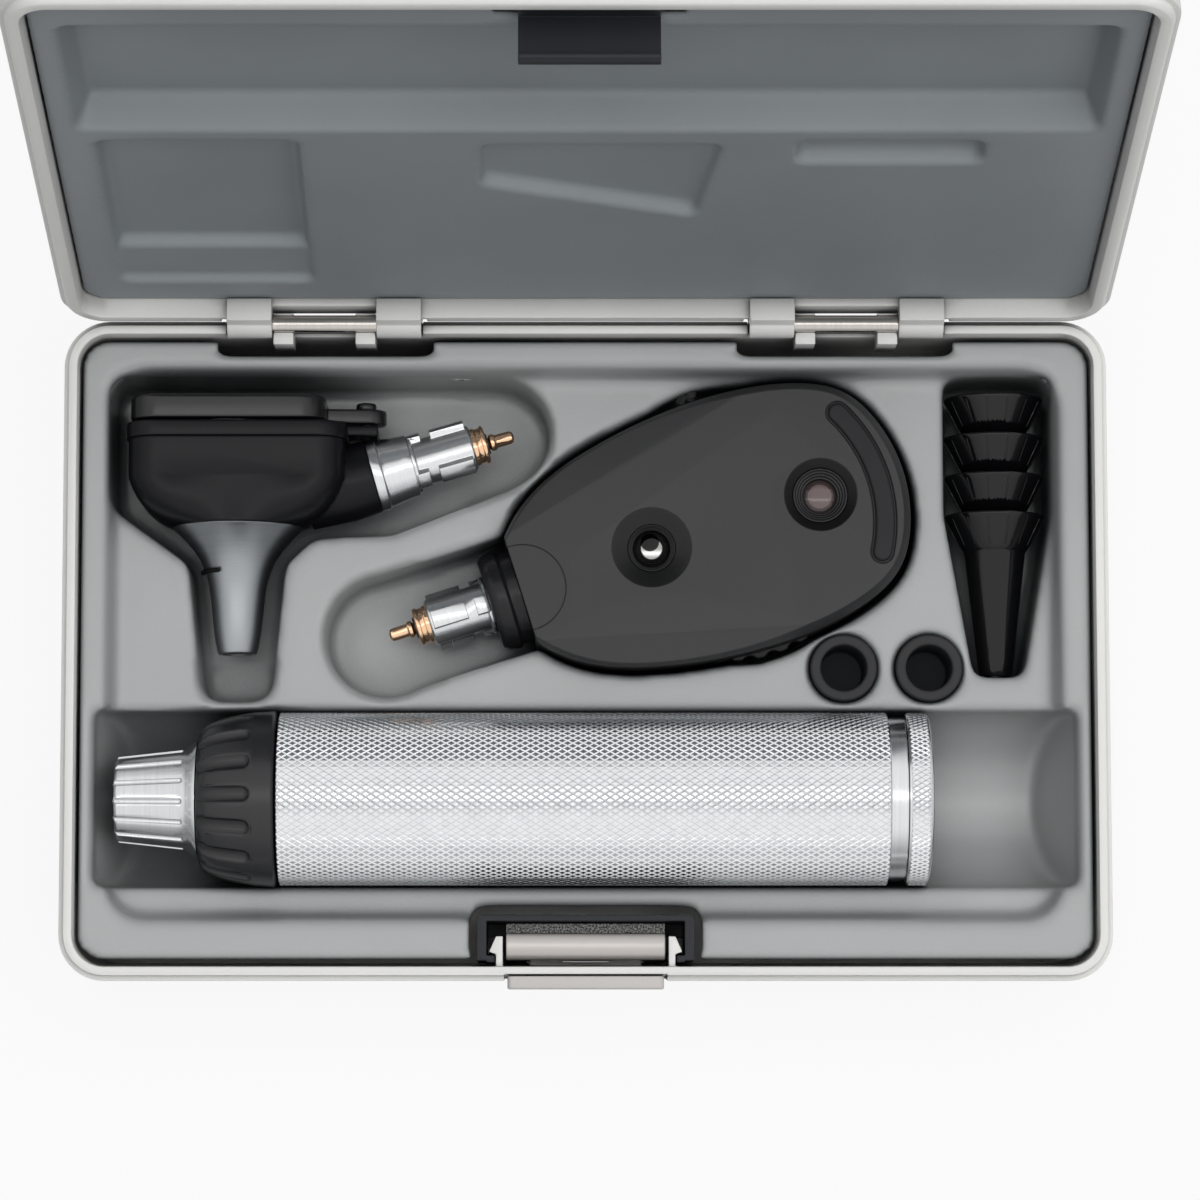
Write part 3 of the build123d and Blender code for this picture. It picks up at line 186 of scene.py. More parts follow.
def painted_corner_shade(material, reach, depth):
    """Paints shade into the colour: deepens it to a cold grey where a surface is shut in by its own
    corners.
    """
    nodes = material.node_tree.nodes
    links = material.node_tree.links
    shader = nodes["Principled BSDF"]
    before = shader.inputs["Base Color"].links[0].from_socket
    corners = nodes.new("ShaderNodeAmbientOcclusion")
    corners.samples = 6
    corners.inputs["Distance"].default_value = reach
    amount = nodes.new("ShaderNodeMapRange")
    amount.inputs["From Min"].default_value = 0.15
    amount.inputs["From Max"].default_value = 0.72
    amount.inputs["To Min"].default_value = depth
    amount.inputs["To Max"].default_value = 1.0
    darker = nodes.new("ShaderNodeMix")
    darker.data_type = "RGBA"
    darker.inputs["A"].default_value = (0.006, 0.009, 0.012, 1)
    links.new(corners.outputs["AO"], amount.inputs["Value"])
    links.new(before, darker.inputs["B"])
    links.new(amount.outputs["Result"], darker.inputs["Factor"])
    links.new(darker.outputs["Result"], shader.inputs["Base Color"])


def ramp(value, start, width):
    """0 up to the start, then evenly up to 1 over the width."""
    return min(max((value - start) / width, 0), 1)


wall_level = 0.0204
wall_side = 0.0868
wall_front = -0.0535
wall_back = 0.0532
# left, right, front and back of each room for a finger
finger_rooms = (
    (-0.021, 0.004, 0.024, 0.050),
    (-0.047, -0.024, -0.009, 0.016),
    (-0.070, -0.051, -0.012, -0.001),
)
front_trim = 0.0009
back_trim = 0.0005
side_trim = 0.0003
tray_grey = satin_plastic("tray_grey", tint(136, 138, 138), 0.32, 1900, 0.00003, 0.03, 0.9)
# painted shade: the colour of the tray liner and of both shells darkens in their pockets and corners
painted_corner_shade(tray_grey, 0.012, 0.1)
painted_corner_shade(shell_grey, 0.01, 0.06)
base_tray = merged_copy("base_insert", "base_tray_liner", "base", tray_grey)
drawn_sheet(
    base_tray,
    grid=0.00055,
    passes=14,
    triangles=188000,
    soft=lambda co: abs(co.x) < wall_side and wall_front < co.y < wall_back,
)
# the ends where a finger reaches in are drawn out into smooth bowls
bpy.ops.object.mode_set(mode="EDIT")
bpy.ops.mesh.select_mode(type="VERT")
bpy.ops.mesh.select_all(action="DESELECT")
bpy.ops.object.mode_set(mode="OBJECT")
for corner in base_tray.data.vertices:
    x, y, z = corner.co
    corner.select = z < wall_level and any(
        left < x < right and front < y < back for left, right, front, back in finger_rooms
    )
bpy.ops.object.mode_set(mode="EDIT")
bpy.ops.mesh.vertices_smooth(factor=0.5, repeat=18)
bpy.ops.object.mode_set(mode="OBJECT")
# the sheet is trimmed a little short of the walls, most of all in front
for corner in base_tray.data.vertices:
    side = 1 if corner.co.x > 0 else -1
    corner.co.y += front_trim * ramp(-corner.co.y, 0.0515, 0.002)
    corner.co.y -= back_trim * ramp(corner.co.y, 0.052, 0.002)
    corner.co.x -= side * side_trim * ramp(abs(corner.co.x), 0.086, 0.001)

# ---- Lid shell -----------------------------------------------------------------------------------
# The upper half in the same grey ABS, standing open. Its knuckles turn on the hinge pins, and the
# lip inside the rim drops over the step of the base.

lid_shell = merged_copy("lid_shell", "lid_shell_moulding", "lid", shell_grey)
broken_edges(lid_shell, shell_edge)

# ---- Lid tray ------------------------------------------------------------------------------------
# A second liner, drawn from a sheet and pressed into the lid. Its darker, cooler grey is painted shade,
# as the open lid faces away from the lamp. Its shallow reliefs clear what stands proud of the base tray.

lid_grey_painted_shade = satin_plastic("lid_grey_painted_shade", tint(124, 129, 132), 0.42, 1900, 0.00003, 0.03, 0.3)
lid_tray = merged_copy("lid_insert", "lid_tray_liner", "lid", lid_grey_painted_shade)
drawn_sheet(lid_tray, grid=0.0005, passes=4, triangles=170000)

# ---- Hinge pins ----------------------------------------------------------------------------------
# Two ground steel pins, plated bright. Each lies in the cradles of the base and carries two knuckles
# of the lid.


def bright_metal(name, colour, roughness, angle=0.0, marks=(0.00025, 0.02, 0.02), depth=0.15):
    """Plated metal with fine turning marks across its length, which lies at an angle to X."""
    material = bpy.data.materials.new(name)
    material.use_nodes = True
    nodes = material.node_tree.nodes
    links = material.node_tree.links
    shader = nodes["Principled BSDF"]
    shader.inputs["Metallic"].default_value = 1
    place = nodes.new("ShaderNodeTexCoord")
    along = nodes.new("ShaderNodeMapping")
    along.vector_type = "TEXTURE"
    along.inputs["Rotation"].default_value = (0, 0, radians(angle))
    along.inputs["Scale"].default_value = marks
    lines = nodes.new("ShaderNodeTexNoise")
    lines.inputs["Scale"].default_value = 1
    lines.inputs["Detail"].default_value = 4
    shade = nodes.new("ShaderNodeValToRGB")
    shade.color_ramp.elements[0].position = 0.25
    shade.color_ramp.elements[0].color = (*[0.9 * c for c in colour], 1)
    shade.color_ramp.elements[1].position = 0.75
    shade.color_ramp.elements[1].color = (*colour, 1)
    gloss = nodes.new("ShaderNodeMapRange")
    gloss.inputs["To Min"].default_value = roughness * 0.75
    gloss.inputs["To Max"].default_value = roughness * 1.3
    bump = nodes.new("ShaderNodeBump")
    bump.inputs["Strength"].default_value = depth
    bump.inputs["Distance"].default_value = 0.00001
    links.new(place.outputs["Object"], along.inputs["Vector"])
    links.new(along.outputs["Vector"], lines.inputs["Vector"])
    links.new(lines.outputs["Fac"], shade.inputs["Fac"])
    links.new(shade.outputs["Color"], shader.inputs["Base Color"])
    links.new(lines.outputs["Fac"], gloss.inputs["Value"])
    links.new(gloss.outputs["Result"], shader.inputs["Roughness"])
    links.new(lines.outputs["Fac"], bump.inputs["Height"])
    links.new(bump.outputs["Normal"], shader.inputs["Normal"])
    return material


pin_steel = bright_metal("pin_steel", (0.6, 0.565, 0.53), 0.13)
for side in ("left", "right"):
    pin = merged_copy(f"hinge_pin_{side}", f"hinge_pin_{side}_ground", "base", pin_steel)
    broken_edges(pin, 0.00025, 3)

# ---- Latch ---------------------------------------------------------------------------------------
# A spring latch in the middle of the front wall. A black moulded bracket is clipped behind the wall,
# and a nickel plate with a grey push tab rocks on a pin in it, against a leaf spring.

latch_black = satin_plastic("latch_black", tint(27, 28, 32), 0.45, 2800, 0.00001, 0.06, 0.3)
bracket = merged_copy("latch_bracket", "latch_bracket_moulding", "base", latch_black)
broken_edges(bracket, 0.0002)
strike = merged_copy("lid_strike", "lid_strike_moulding", "lid", latch_black)
broken_edges(strike, 0.0002)
plate_nickel = bright_metal("plate_nickel", (0.54, 0.51, 0.49), 0.36, marks=(0.05, 0.0002, 0.0002))
plate = merged_copy("latch_plate", "latch_plate_pressing", "latch", plate_nickel)
broken_edges(plate, 0.00025, 3)


def own_piece(name, body, material):
    """Names what has just been modelled here, and gives it its place, finish and body."""
    piece = bpy.context.active_object
    piece.name = name
    piece.data.name = name
    bpy.ops.object.transform_apply(location=True, rotation=True, scale=True)
    piece.data.materials.append(material)
    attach(piece, body)
    return piece


# a gritty felt strip at the foot of the well stops the strike from rattling
felt_place = (0, -0.0485, 0.0209)
felt_size = (0.0275, 0.0021, 0.0005)
grit = satin_plastic("grit", tint(150, 150, 147), 0.8, 1500, 0.00006, 0.1, 0.2)
nodes = grit.node_tree.nodes
links = grit.node_tree.links
place = nodes.new("ShaderNodeTexCoord")
specks = nodes.new("ShaderNodeTexNoise")
specks.inputs["Scale"].default_value = 3400
speck_tone = nodes.new("ShaderNodeValToRGB")
speck_tone.color_ramp.elements[0].position = 0.4
speck_tone.color_ramp.elements[0].color = (0.05, 0.05, 0.05, 1)
speck_tone.color_ramp.elements[1].position = 0.64
speck_tone.color_ramp.elements[1].color = (0.42, 0.42, 0.41, 1)
links.new(place.outputs["Object"], specks.inputs["Vector"])
links.new(specks.outputs["Fac"], speck_tone.inputs["Fac"])
links.new(speck_tone.outputs["Color"], nodes["Principled BSDF"].inputs["Base Color"])
bpy.ops.object.select_all(action="DESELECT")
bpy.ops.mesh.primitive_cube_add(size=1, location=felt_place, scale=felt_size)
felt = own_piece("latch_well_felt", "base", grit)
broken_edges(felt, 0.00015)
tab_grey = satin_plastic("tab_grey", tint(172, 168, 165), 0.4, 2600, 0.00001, 0.02)
tab = merged_copy("latch_tab", "latch_tab_moulding", "latch", tab_grey)
broken_edges(tab, 0.0003, 3)
spring_steel = bright_metal("spring_steel", (0.62, 0.62, 0.61), 0.3)
pivot = merged_copy("latch_pin", "latch_pin_ground", "base", pin_steel)
broken_edges(pivot, 0.0002)
leaf = merged_copy("latch_spring", "latch_leaf_spring", "base", spring_steel)
broken_edges(leaf, 0.00005, 1)

# ---- Spare lamp holders --------------------------------------------------------------------------
# Two soft rubber sockets pressed into round pockets of the tray. Each is open at the top for the
# foot of a spare lamp.

holder_rubber = satin_plastic("holder_rubber", tint(42, 42, 43), 0.62, 3200, 0.000015, 0.08, 0.25)
# painted shade: the rubber's colour darkens in the holes and corners of the holders
painted_corner_shade(holder_rubber, 0.01, 0.1)
for side in ("left", "right"):
    holder = merged_copy(
        f"bulb_holder_{side}", f"bulb_holder_{side}_ring", "base", holder_rubber
    )
    broken_edges(holder, 0.0005, 4)

# ---- Otoscope head -------------------------------------------------------------------------------
# A closed black housing round the lamp, with a chromed cone for the specula in front, the swing
# window behind and a bayonet plug with a spring contact for the handle below.

head_black = satin_plastic("head_black", tint(12, 12, 15), 0.33, 2400, 0.000012, 0.1, 0.22)
housing = merged_copy(
    "otoscope_housing", "otoscope_housing_moulding", "otoscope", head_black
)
broken_edges(housing, 0.0004, 3)
cone_chrome = bright_metal("cone_chrome", (0.385, 0.405, 0.42), 0.36, marks=(0.02, 0.0002, 0.02))
cone = merged_copy("otoscope_cone", "otoscope_cone_turned", "otoscope", cone_chrome)
broken_edges(cone, 0.0003, 3)
# the bayonet slot for the specula is drawn as a near-black bar part of the way round the shoulder of the
# cone: painted shade in place of the shadowed inside of a groove
slot_y = 0.0143
cone_x = -0.06105
cone_z = 0.0163
slot_radius = 0.00615
slot_width = 0.0008
slot_painted_shade = satin_plastic("slot_painted_shade", tint(8, 8, 9), 0.5, 2400, 0.00001, 0.1, 0.2)
bpy.ops.object.select_all(action="DESELECT")
bpy.ops.mesh.primitive_circle_add(
    vertices=16, radius=slot_width / 2, fill_type="NGON", location=(cone_x - slot_radius, slot_y, cone_z)
)
own_piece("otoscope_cone_slot_shade", "otoscope", slot_painted_shade)
bpy.ops.object.mode_set(mode="EDIT")
bpy.ops.mesh.select_all(action="SELECT")
bpy.ops.mesh.spin(steps=12, angle=radians(-60), center=(cone_x, slot_y, cone_z), axis=(0, 1, 0))
bpy.ops.mesh.select_all(action="SELECT")
bpy.ops.mesh.remove_doubles(threshold=0.000002)
bpy.ops.mesh.normals_make_consistent(inside=False)
bpy.ops.object.mode_set(mode="OBJECT")
bpy.ops.object.shade_smooth_by_angle(angle=radians(40))
frame_black = satin_plastic("frame_black", tint(17, 17, 19), 0.26, 2400, 0.00001, 0.1, 0.55)
window_frame = merged_copy(
    "otoscope_window_frame",
    "otoscope_window_frame_moulding",
    "otoscope_window",
    frame_black,
)
broken_edges(window_frame, 0.00045, 4)
screw = merged_copy(
    "otoscope_window_screw", "otoscope_window_pivot", "otoscope", frame_black
)
broken_edges(screw, 0.0002)


def clear_glass(name, colour, roughness):
    """Clear glass with a trace of dust in its gloss."""
    material = bpy.data.materials.new(name)
    material.use_nodes = True
    nodes = material.node_tree.nodes
    links = material.node_tree.links
    shader = nodes["Principled BSDF"]
    shader.inputs["Base Color"].default_value = (*colour, 1)
    shader.inputs["Transmission Weight"].default_value = 1
    shader.inputs["IOR"].default_value = 1.5
    place = nodes.new("ShaderNodeTexCoord")
    dust = nodes.new("ShaderNodeTexNoise")
    dust.inputs["Scale"].default_value = 400
    gloss = nodes.new("ShaderNodeMapRange")
    gloss.inputs["From Min"].default_value = 0.45
    gloss.inputs["From Max"].default_value = 0.8
    gloss.inputs["To Min"].default_value = roughness
    gloss.inputs["To Max"].default_value = roughness + 0.03
    links.new(place.outputs["Object"], dust.inputs["Vector"])
    links.new(dust.outputs["Fac"], gloss.inputs["Value"])
    links.new(gloss.outputs["Result"], shader.inputs["Roughness"])
    return material


window_glass = clear_glass("window_glass", (0.9, 0.93, 0.95), 0.02)
window = merged_copy(
    "otoscope_window_lens", "otoscope_window_pane", "otoscope_window", window_glass
)
broken_edges(window, 0.0001)

# ---- Plugs of both heads -------------------------------------------------------------------------
# Each head ends in the same bayonet plug, turned from brass and satin chromed, with an insulated
# gilt sleeve and a sprung gilt pin at its tip.

pin_bare_length = 0.0034
pin_core = 0.00005
pin_stouter = 1.18
nose_length = 0.001
nose_rate = 450
nose_fullest = 1.6
insulator_black = satin_plastic("insulator_black", tint(40, 40, 42), 0.4, 3000, 0.00001, 0.05)
for head, angle in (("otoscope", 16.0), ("ophthalmoscope", 17.5)):
    plug_chrome = bright_metal(f"{head}_plug_chrome", (0.80, 0.81, 0.82), 0.24, angle)
    gilt = bright_metal(f"{head}_gilt", (1.0, 0.66, 0.42), 0.14, angle)
    plug = merged_copy(f"{head}_plug", f"{head}_plug_turned", head, plug_chrome)
    broken_edges(plug, 0.00015)
    sleeve = merged_copy(
        f"{head}_contact_sleeve", f"{head}_contact_sleeve_turned", head, gilt
    )
    broken_edges(sleeve, 0.00015, 3)
    pin = merged_copy(f"{head}_contact_pin", f"{head}_contact_pin_turned", head, gilt)
    # outside the insulator the pin is stouter and its nose is full and round
    way = radians(angle) if head == "otoscope" else radians(angle + 180)
    reach = [corner.co.x * cos(way) + corner.co.y * sin(way) for corner in pin.data.vertices]
    offset = [corner.co.y * cos(way) - corner.co.x * sin(way) for corner in pin.data.vertices]
    heights = [corner.co.z for corner in pin.data.vertices]
    middle = (max(offset) + min(offset)) / 2
    level = (max(heights) + min(heights)) / 2
    tip = max(reach)
    for corner, along, across in zip(pin.data.vertices, reach, offset):
        radius = ((across - middle) ** 2 + (corner.co.z - level) ** 2) ** 0.5
        if along < tip - pin_bare_length or radius < pin_core:
            continue
        wider = min(pin_stouter + nose_rate * max(along - tip + nose_length, 0), nose_fullest)
        across = middle + (across - middle) * wider
        corner.co.x = along * cos(way) - across * sin(way)
        corner.co.y = along * sin(way) + across * cos(way)
        corner.co.z = level + (corner.co.z - level) * wider
    broken_edges(pin, 0.0001)
    bush = merged_copy(
        f"{head}_insulator", f"{head}_insulator_moulding", head, insulator_black
    )
    broken_edges(bush, 0.0001)
neck_chrome = bright_metal("neck_chrome", (0.82, 0.83, 0.84), 0.22, 16.0)
neck = merged_copy(
    "otoscope_neck_ring", "otoscope_neck_ring_turned", "otoscope", neck_chrome
)
broken_edges(neck, 0.00015)
collar_black = satin_plastic("collar_black", tint(22, 22, 24), 0.28, 2600, 0.000008, 0.06, 0.3)
collar = merged_copy(
    "ophthalmoscope_collar", "ophthalmoscope_collar_ring", "ophthalmoscope", collar_black
)
broken_edges(collar, 0.0002, 3)

# ---- Ophthalmoscope head -------------------------------------------------------------------------
# Two black covers clamp the scalloped lens wheel between them. The front one carries the eyepiece,
# the window of the lens reading and the curved rubber rest for the brow.

cover_black = satin_plastic("cover_black", tint(38, 38, 39), 0.44, 2200, 0.00002, 0.05, 0.4)


def toned_disc(material, centre, radius, inside, outside=1.0):
    """Darkens the colour inside or outside an upright cylinder round a centre."""
    blur = 0.00004
    nodes = material.node_tree.nodes
    links = material.node_tree.links
    shader = nodes["Principled BSDF"]
    place = nodes.new("ShaderNodeTexCoord")
    level = nodes.new("ShaderNodeVectorMath")
    level.operation = "MULTIPLY"
    level.inputs[1].default_value = (1, 1, 0)
    away = nodes.new("ShaderNodeVectorMath")
    away.operation = "DISTANCE"
    away.inputs[1].default_value = centre
    edge = nodes.new("ShaderNodeMapRange")
    edge.inputs["From Min"].default_value = radius - blur
    edge.inputs["From Max"].default_value = radius + blur
    edge.inputs["To Min"].default_value = inside
    edge.inputs["To Max"].default_value = outside
    darker = nodes.new("ShaderNodeVectorMath")
    darker.operation = "SCALE"
    before = shader.inputs["Base Color"].links[0].from_socket
    links.new(place.outputs["Object"], level.inputs[0])
    links.new(level.outputs["Vector"], away.inputs[0])
    links.new(away.outputs["Value"], edge.inputs["Value"])
    links.new(before, darker.inputs[0])
    links.new(edge.outputs["Result"], darker.inputs["Scale"])
    links.new(darker.outputs["Vector"], shader.inputs["Base Color"])


# painted shade: the colour inside both bowls is darkened for the shade in these recesses, and the bowls
# are left smooth
display_at = (0.011565, 0.01782, 0)
eyepiece_at = (0.041035, 0.027115, 0)
display_bowl = 0.00706
eyepiece_bowl = 0.00646
toned_disc(cover_black, display_at, display_bowl, 0.16)
toned_disc(cover_black, eyepiece_at, eyepiece_bowl, 0.16)
front = merged_copy(
    "ophthalmoscope_front_cover",
    "ophthalmoscope_front_moulding",
    "ophthalmoscope",
    cover_black,
)
broken_edges(front, 0.00016, crease=11)
rear_black = satin_plastic("rear_black", tint(26, 26, 28), 0.42, 2200, 0.00002, 0.05, 0.3)
rear = merged_copy(
    "ophthalmoscope_rear_cover",
    "ophthalmoscope_rear_moulding",
    "ophthalmoscope",
    rear_black,
)
broken_edges(rear, 0.0003, 3)
wheel = merged_copy(
    "ophthalmoscope_lens_wheel",
    "ophthalmoscope_lens_wheel_moulding",
    "lens_wheel",
    rear_black,
)
broken_edges(wheel, 0.0003, 3)
ring_black = satin_plastic("ring_black", tint(20, 20, 22), 0.3, 2600, 0.000006, 0.05, 0.3)
for part in ("eyepiece", "display"):
    ring = merged_copy(
        f"ophthalmoscope_{part}_ring",
        f"ophthalmoscope_{part}_bezel",
        "ophthalmoscope",
        ring_black,
    )
    broken_edges(ring, 0.00015, 3)
eye_glass = satin_plastic("eye_glass", (0.115, 0.08, 0.08), 0.12, 900, 0.000001, 0.04, 0.5)
pupil_radius = 0.0021
toned_disc(eye_glass, eyepiece_at, pupil_radius, 1.0, 0.3)
eye_lens = merged_copy(
    "ophthalmoscope_eyepiece_lens", "ophthalmoscope_eye_lens", "ophthalmoscope", eye_glass
)
broken_edges(eye_lens, 0.0001)
dome_glass = bright_metal("dome_glass", (0.4, 0.4, 0.39), 0.14, marks=(0.003,) * 3, depth=0.02)
# the reading lies in the dark upper part of the dome
reading_at = (display_at[0] - 0.0003, display_at[1] + 0.0011, 0)
reading_radius = 0.0016
toned_disc(dome_glass, reading_at, reading_radius, 0.08)
dome = merged_copy(
    "ophthalmoscope_display_lens", "ophthalmoscope_display_dome", "ophthalmoscope", dome_glass
)
broken_edges(dome, 0.0001)
brow_rubber = satin_plastic("brow_rubber", tint(22, 22, 24), 0.5, 3000, 0.00001, 0.06, 0.3)
brow = merged_copy(
    "ophthalmoscope_brow_rest", "ophthalmoscope_brow_pad", "ophthalmoscope", brow_rubber
)
broken_edges(brow, 0.0006, 5)

# ---- Handle --------------------------------------------------------------------------------------
# A battery handle: a knurled and satin chromed tube, a black collar that dims the lamp, a fluted
# socket for the heads at one end and a screw cap over two cells at the other.

handle_axis = (0, -0.02575, 0.0194)
knurl_root = 0.01497
knurl_start = -0.0532
knurl_end = 0.0524
knurl_rise = 0.00013
band_shrink = 0.955
band_bore = 0.0138
cap_knurl_start = 0.0559
cap_knurl_end = 0.0592
dimmer_start = -0.0672
dimmer_bore = 0.011


def knurled_sleeve(name, body, start, end, around, rows):
    """Rows of flat-topped diamonds, as two crossed knurling wheels leave them on a turned tube."""
    step = (end - start) / rows
    bpy.ops.object.select_all(action="DESELECT")
    bpy.ops.mesh.primitive_circle_add(
        vertices=around, radius=knurl_root, rotation=(0, radians(90), 0), location=(start, 0, 0)
    )
    sleeve = bpy.context.active_object
    bpy.ops.object.transform_apply(location=True, rotation=True, scale=True)
    bpy.ops.object.mode_set(mode="EDIT")
    bpy.ops.mesh.select_all(action="SELECT")
    bpy.ops.mesh.extrude_repeat(steps=rows, offset=(step, 0, 0))
    bpy.ops.mesh.select_all(action="SELECT")
    bpy.ops.mesh.remove_doubles(threshold=0.000002)
    bpy.ops.mesh.normals_make_consistent(inside=False)
    # the grid becomes a net of diamonds
    bpy.ops.mesh.poke()
    bpy.ops.mesh.select_mode(type="EDGE")
    bpy.ops.mesh.select_all(action="DESELECT")
    bpy.ops.object.mode_set(mode="OBJECT")
    points = sleeve.data.vertices
    for edge in sleeve.data.edges:
        near, far = (points[corner].co.x for corner in edge.vertices)
        at_end = any(max(abs(near - brim), abs(far - brim)) < step / 9 for brim in (start, end))
        edge.select = abs(abs(near - far) - step / 2) > step / 4 and not at_end
    bpy.ops.object.mode_set(mode="EDIT")
    bpy.ops.mesh.dissolve_edges(use_verts=False)
    bpy.ops.mesh.select_mode(type="FACE")
    bpy.ops.mesh.select_all(action="SELECT")
    bpy.ops.mesh.inset(thickness=knurl_rise * 1.35, depth=knurl_rise, use_individual=True)
    bpy.ops.mesh.select_mode(type="VERT")
    # both ends turn in under the knurl and meet behind it
    bpy.ops.mesh.select_all(action="DESELECT")
    bpy.ops.mesh.select_non_manifold()
    bpy.ops.mesh.extrude_edges_move()
    bpy.ops.transform.resize(value=(1, 0.96, 0.96), center_override=(0, 0, 0))
    bpy.ops.mesh.bridge_edge_loops()
    bpy.ops.mesh.select_all(action="SELECT")
    bpy.ops.mesh.normals_make_consistent(inside=False)
    bpy.ops.mesh.faces_shade_flat()
    bpy.ops.object.mode_set(mode="OBJECT")
    sleeve.location = handle_axis
    return own_piece(name, body, knurl_chrome)


handle_chrome = bright_metal("handle_chrome", (0.80, 0.81, 0.82), 0.2)
tube = merged_copy("handle_tube", "handle_tube_turned", "handle", handle_chrome)
# the band in front of the cap is turned a little thinner than the knurl
bpy.ops.object.mode_set(mode="EDIT")
brink = 0.0001
for cut in (knurl_end - brink, knurl_end + brink):
    bpy.ops.mesh.select_all(action="SELECT")
    bpy.ops.mesh.bisect(plane_co=(cut, 0, 0), plane_no=(1, 0, 0))
bpy.ops.mesh.select_all(action="DESELECT")
bpy.ops.object.mode_set(mode="OBJECT")
for corner in tube.data.vertices:
    away_squared = (corner.co.y - handle_axis[1]) ** 2 + (corner.co.z - handle_axis[2]) ** 2
    corner.select = corner.co.x > knurl_end and away_squared > band_bore**2
bpy.ops.object.mode_set(mode="EDIT")
bpy.ops.transform.resize(value=(1, band_shrink, band_shrink), center_override=handle_axis)
bpy.ops.object.mode_set(mode="OBJECT")
broken_edges(tube, 0.0002)
knurl_chrome = bright_metal(
    "knurl_chrome", (0.86, 0.87, 0.885), 0.22, marks=(0.0015,) * 3, depth=0.05
)
knurled_sleeve("handle_tube_knurl", "handle", knurl_start, knurl_end, around=80, rows=58)
socket_chrome = bright_metal("socket_chrome", (0.72, 0.73, 0.74), 0.18)
socket = merged_copy("handle_socket", "handle_socket_turned", "handle", socket_chrome)
broken_edges(socket, 0.00015)
dimmer_black = satin_plastic("dimmer_black", tint(28, 28, 30), 0.3, 2400, 0.00001, 0.06, 0.5)
dimmer = merged_copy("handle_dimmer_collar", "handle_dimmer_moulding", "dimmer", dimmer_black)


def profile_at(profile, place):
    """Reads a profile given as pairs of place and value. Off its ends there is None."""
    for (near, low), (far, high) in zip(profile, profile[1:]):
        if near <= place < far:
            return low + (high - low) * (place - near) / (far - near)
    return None


# the outside swells in one long curve up to the tube: distance from the front end, and factor
swell = (
    (0.0, 1.0),
    (0.0008, 1.045),
    (0.002, 1.085),
    (0.0037, 1.105),
    (0.0055, 1.105),
    (0.0075, 1.1),
    (0.0096, 1.088),
    (0.0104, 1.012),
    (0.0132, 1.018),
    (0.0137, 1.0),
)
bpy.ops.object.mode_set(mode="EDIT")
for place, factor in swell[1:]:
    bpy.ops.mesh.select_all(action="SELECT")
    bpy.ops.mesh.bisect(plane_co=(dimmer_start + place, 0, 0), plane_no=(1, 0, 0))
bpy.ops.object.mode_set(mode="OBJECT")
for corner in dimmer.data.vertices:
    away_squared = (corner.co.y - handle_axis[1]) ** 2 + (corner.co.z - handle_axis[2]) ** 2
    factor = profile_at(swell, corner.co.x - dimmer_start)
    if away_squared < dimmer_bore**2 or factor is None:
        continue
    corner.co.y = handle_axis[1] + (corner.co.y - handle_axis[1]) * factor
    corner.co.z = handle_axis[2] + (corner.co.z - handle_axis[2]) * factor
broken_edges(dimmer, 0.0003, 3)
cap = merged_copy("handle_end_cap", "handle_end_cap_turned", "end_cap", handle_chrome)
broken_edges(cap, 0.0002)
knurled_sleeve("handle_cap_knurl", "end_cap", cap_knurl_start, cap_knurl_end, around=96, rows=2)
coil = merged_copy("handle_cap_spring", "handle_cap_coil", "cap_thread", spring_steel)
broken_edges(coil, 0.00002, 1)
handle_gilt = bright_metal("handle_gilt", (1.0, 0.66, 0.42), 0.16)
plunger = merged_copy(
    "handle_contact_plunger", "handle_contact_turned", "handle", handle_gilt
)
broken_edges(plunger, 0.0001)
bush = merged_copy(
    "handle_insulator_bush", "handle_bush_moulding", "handle", insulator_black
)
broken_edges(bush, 0.0001)
jacket_grey = satin_plastic("jacket_grey", tint(120, 124, 130), 0.25, 900, 0.000004, 0.04)
for side in ("front", "rear"):
    cell = merged_copy(
        f"battery_cell_{side}", f"battery_cell_{side}_can", "handle", jacket_grey
    )
    broken_edges(cell, 0.0004, 3)

# ---- Specula -------------------------------------------------------------------------------------
# Four ear specula of glossy black polypropylene, moulded with a thin wall and pushed one into the
# next.

specula_black = satin_plastic("specula_black", tint(7, 7, 9), 0.1, 500, 0.000004, 0.2, 0.4)
specula_count = 4
stack_x = 0.0723
stack_z = 0.0140
first_rim = 0.0247
rim_step = 0.00695
# depth below the rim, and how far the wall there moves out
mouth = ((-0.0001, 0.0007), (0.0004, 0.00045), (0.0026, -0.00035), (0.0062, 0.0))
for number in range(1, specula_count + 1):
    rim = first_rim + rim_step * (number - 1)
    speculum = merged_copy(
        f"speculum_{number}", f"speculum_{number}_moulding", "specula", specula_black
    )
    # the mouth runs straight out to a sharp rim
    for corner in speculum.data.vertices:
        flare = profile_at(mouth, rim - corner.co.y)
        if flare is None:
            continue
        away = ((corner.co.x - stack_x) ** 2 + (corner.co.z - stack_z) ** 2) ** 0.5
        corner.co.x = stack_x + (corner.co.x - stack_x) * (1 + flare / away)
        corner.co.z = stack_z + (corner.co.z - stack_z) * (1 + flare / away)
    broken_edges(speculum, 0.00015)
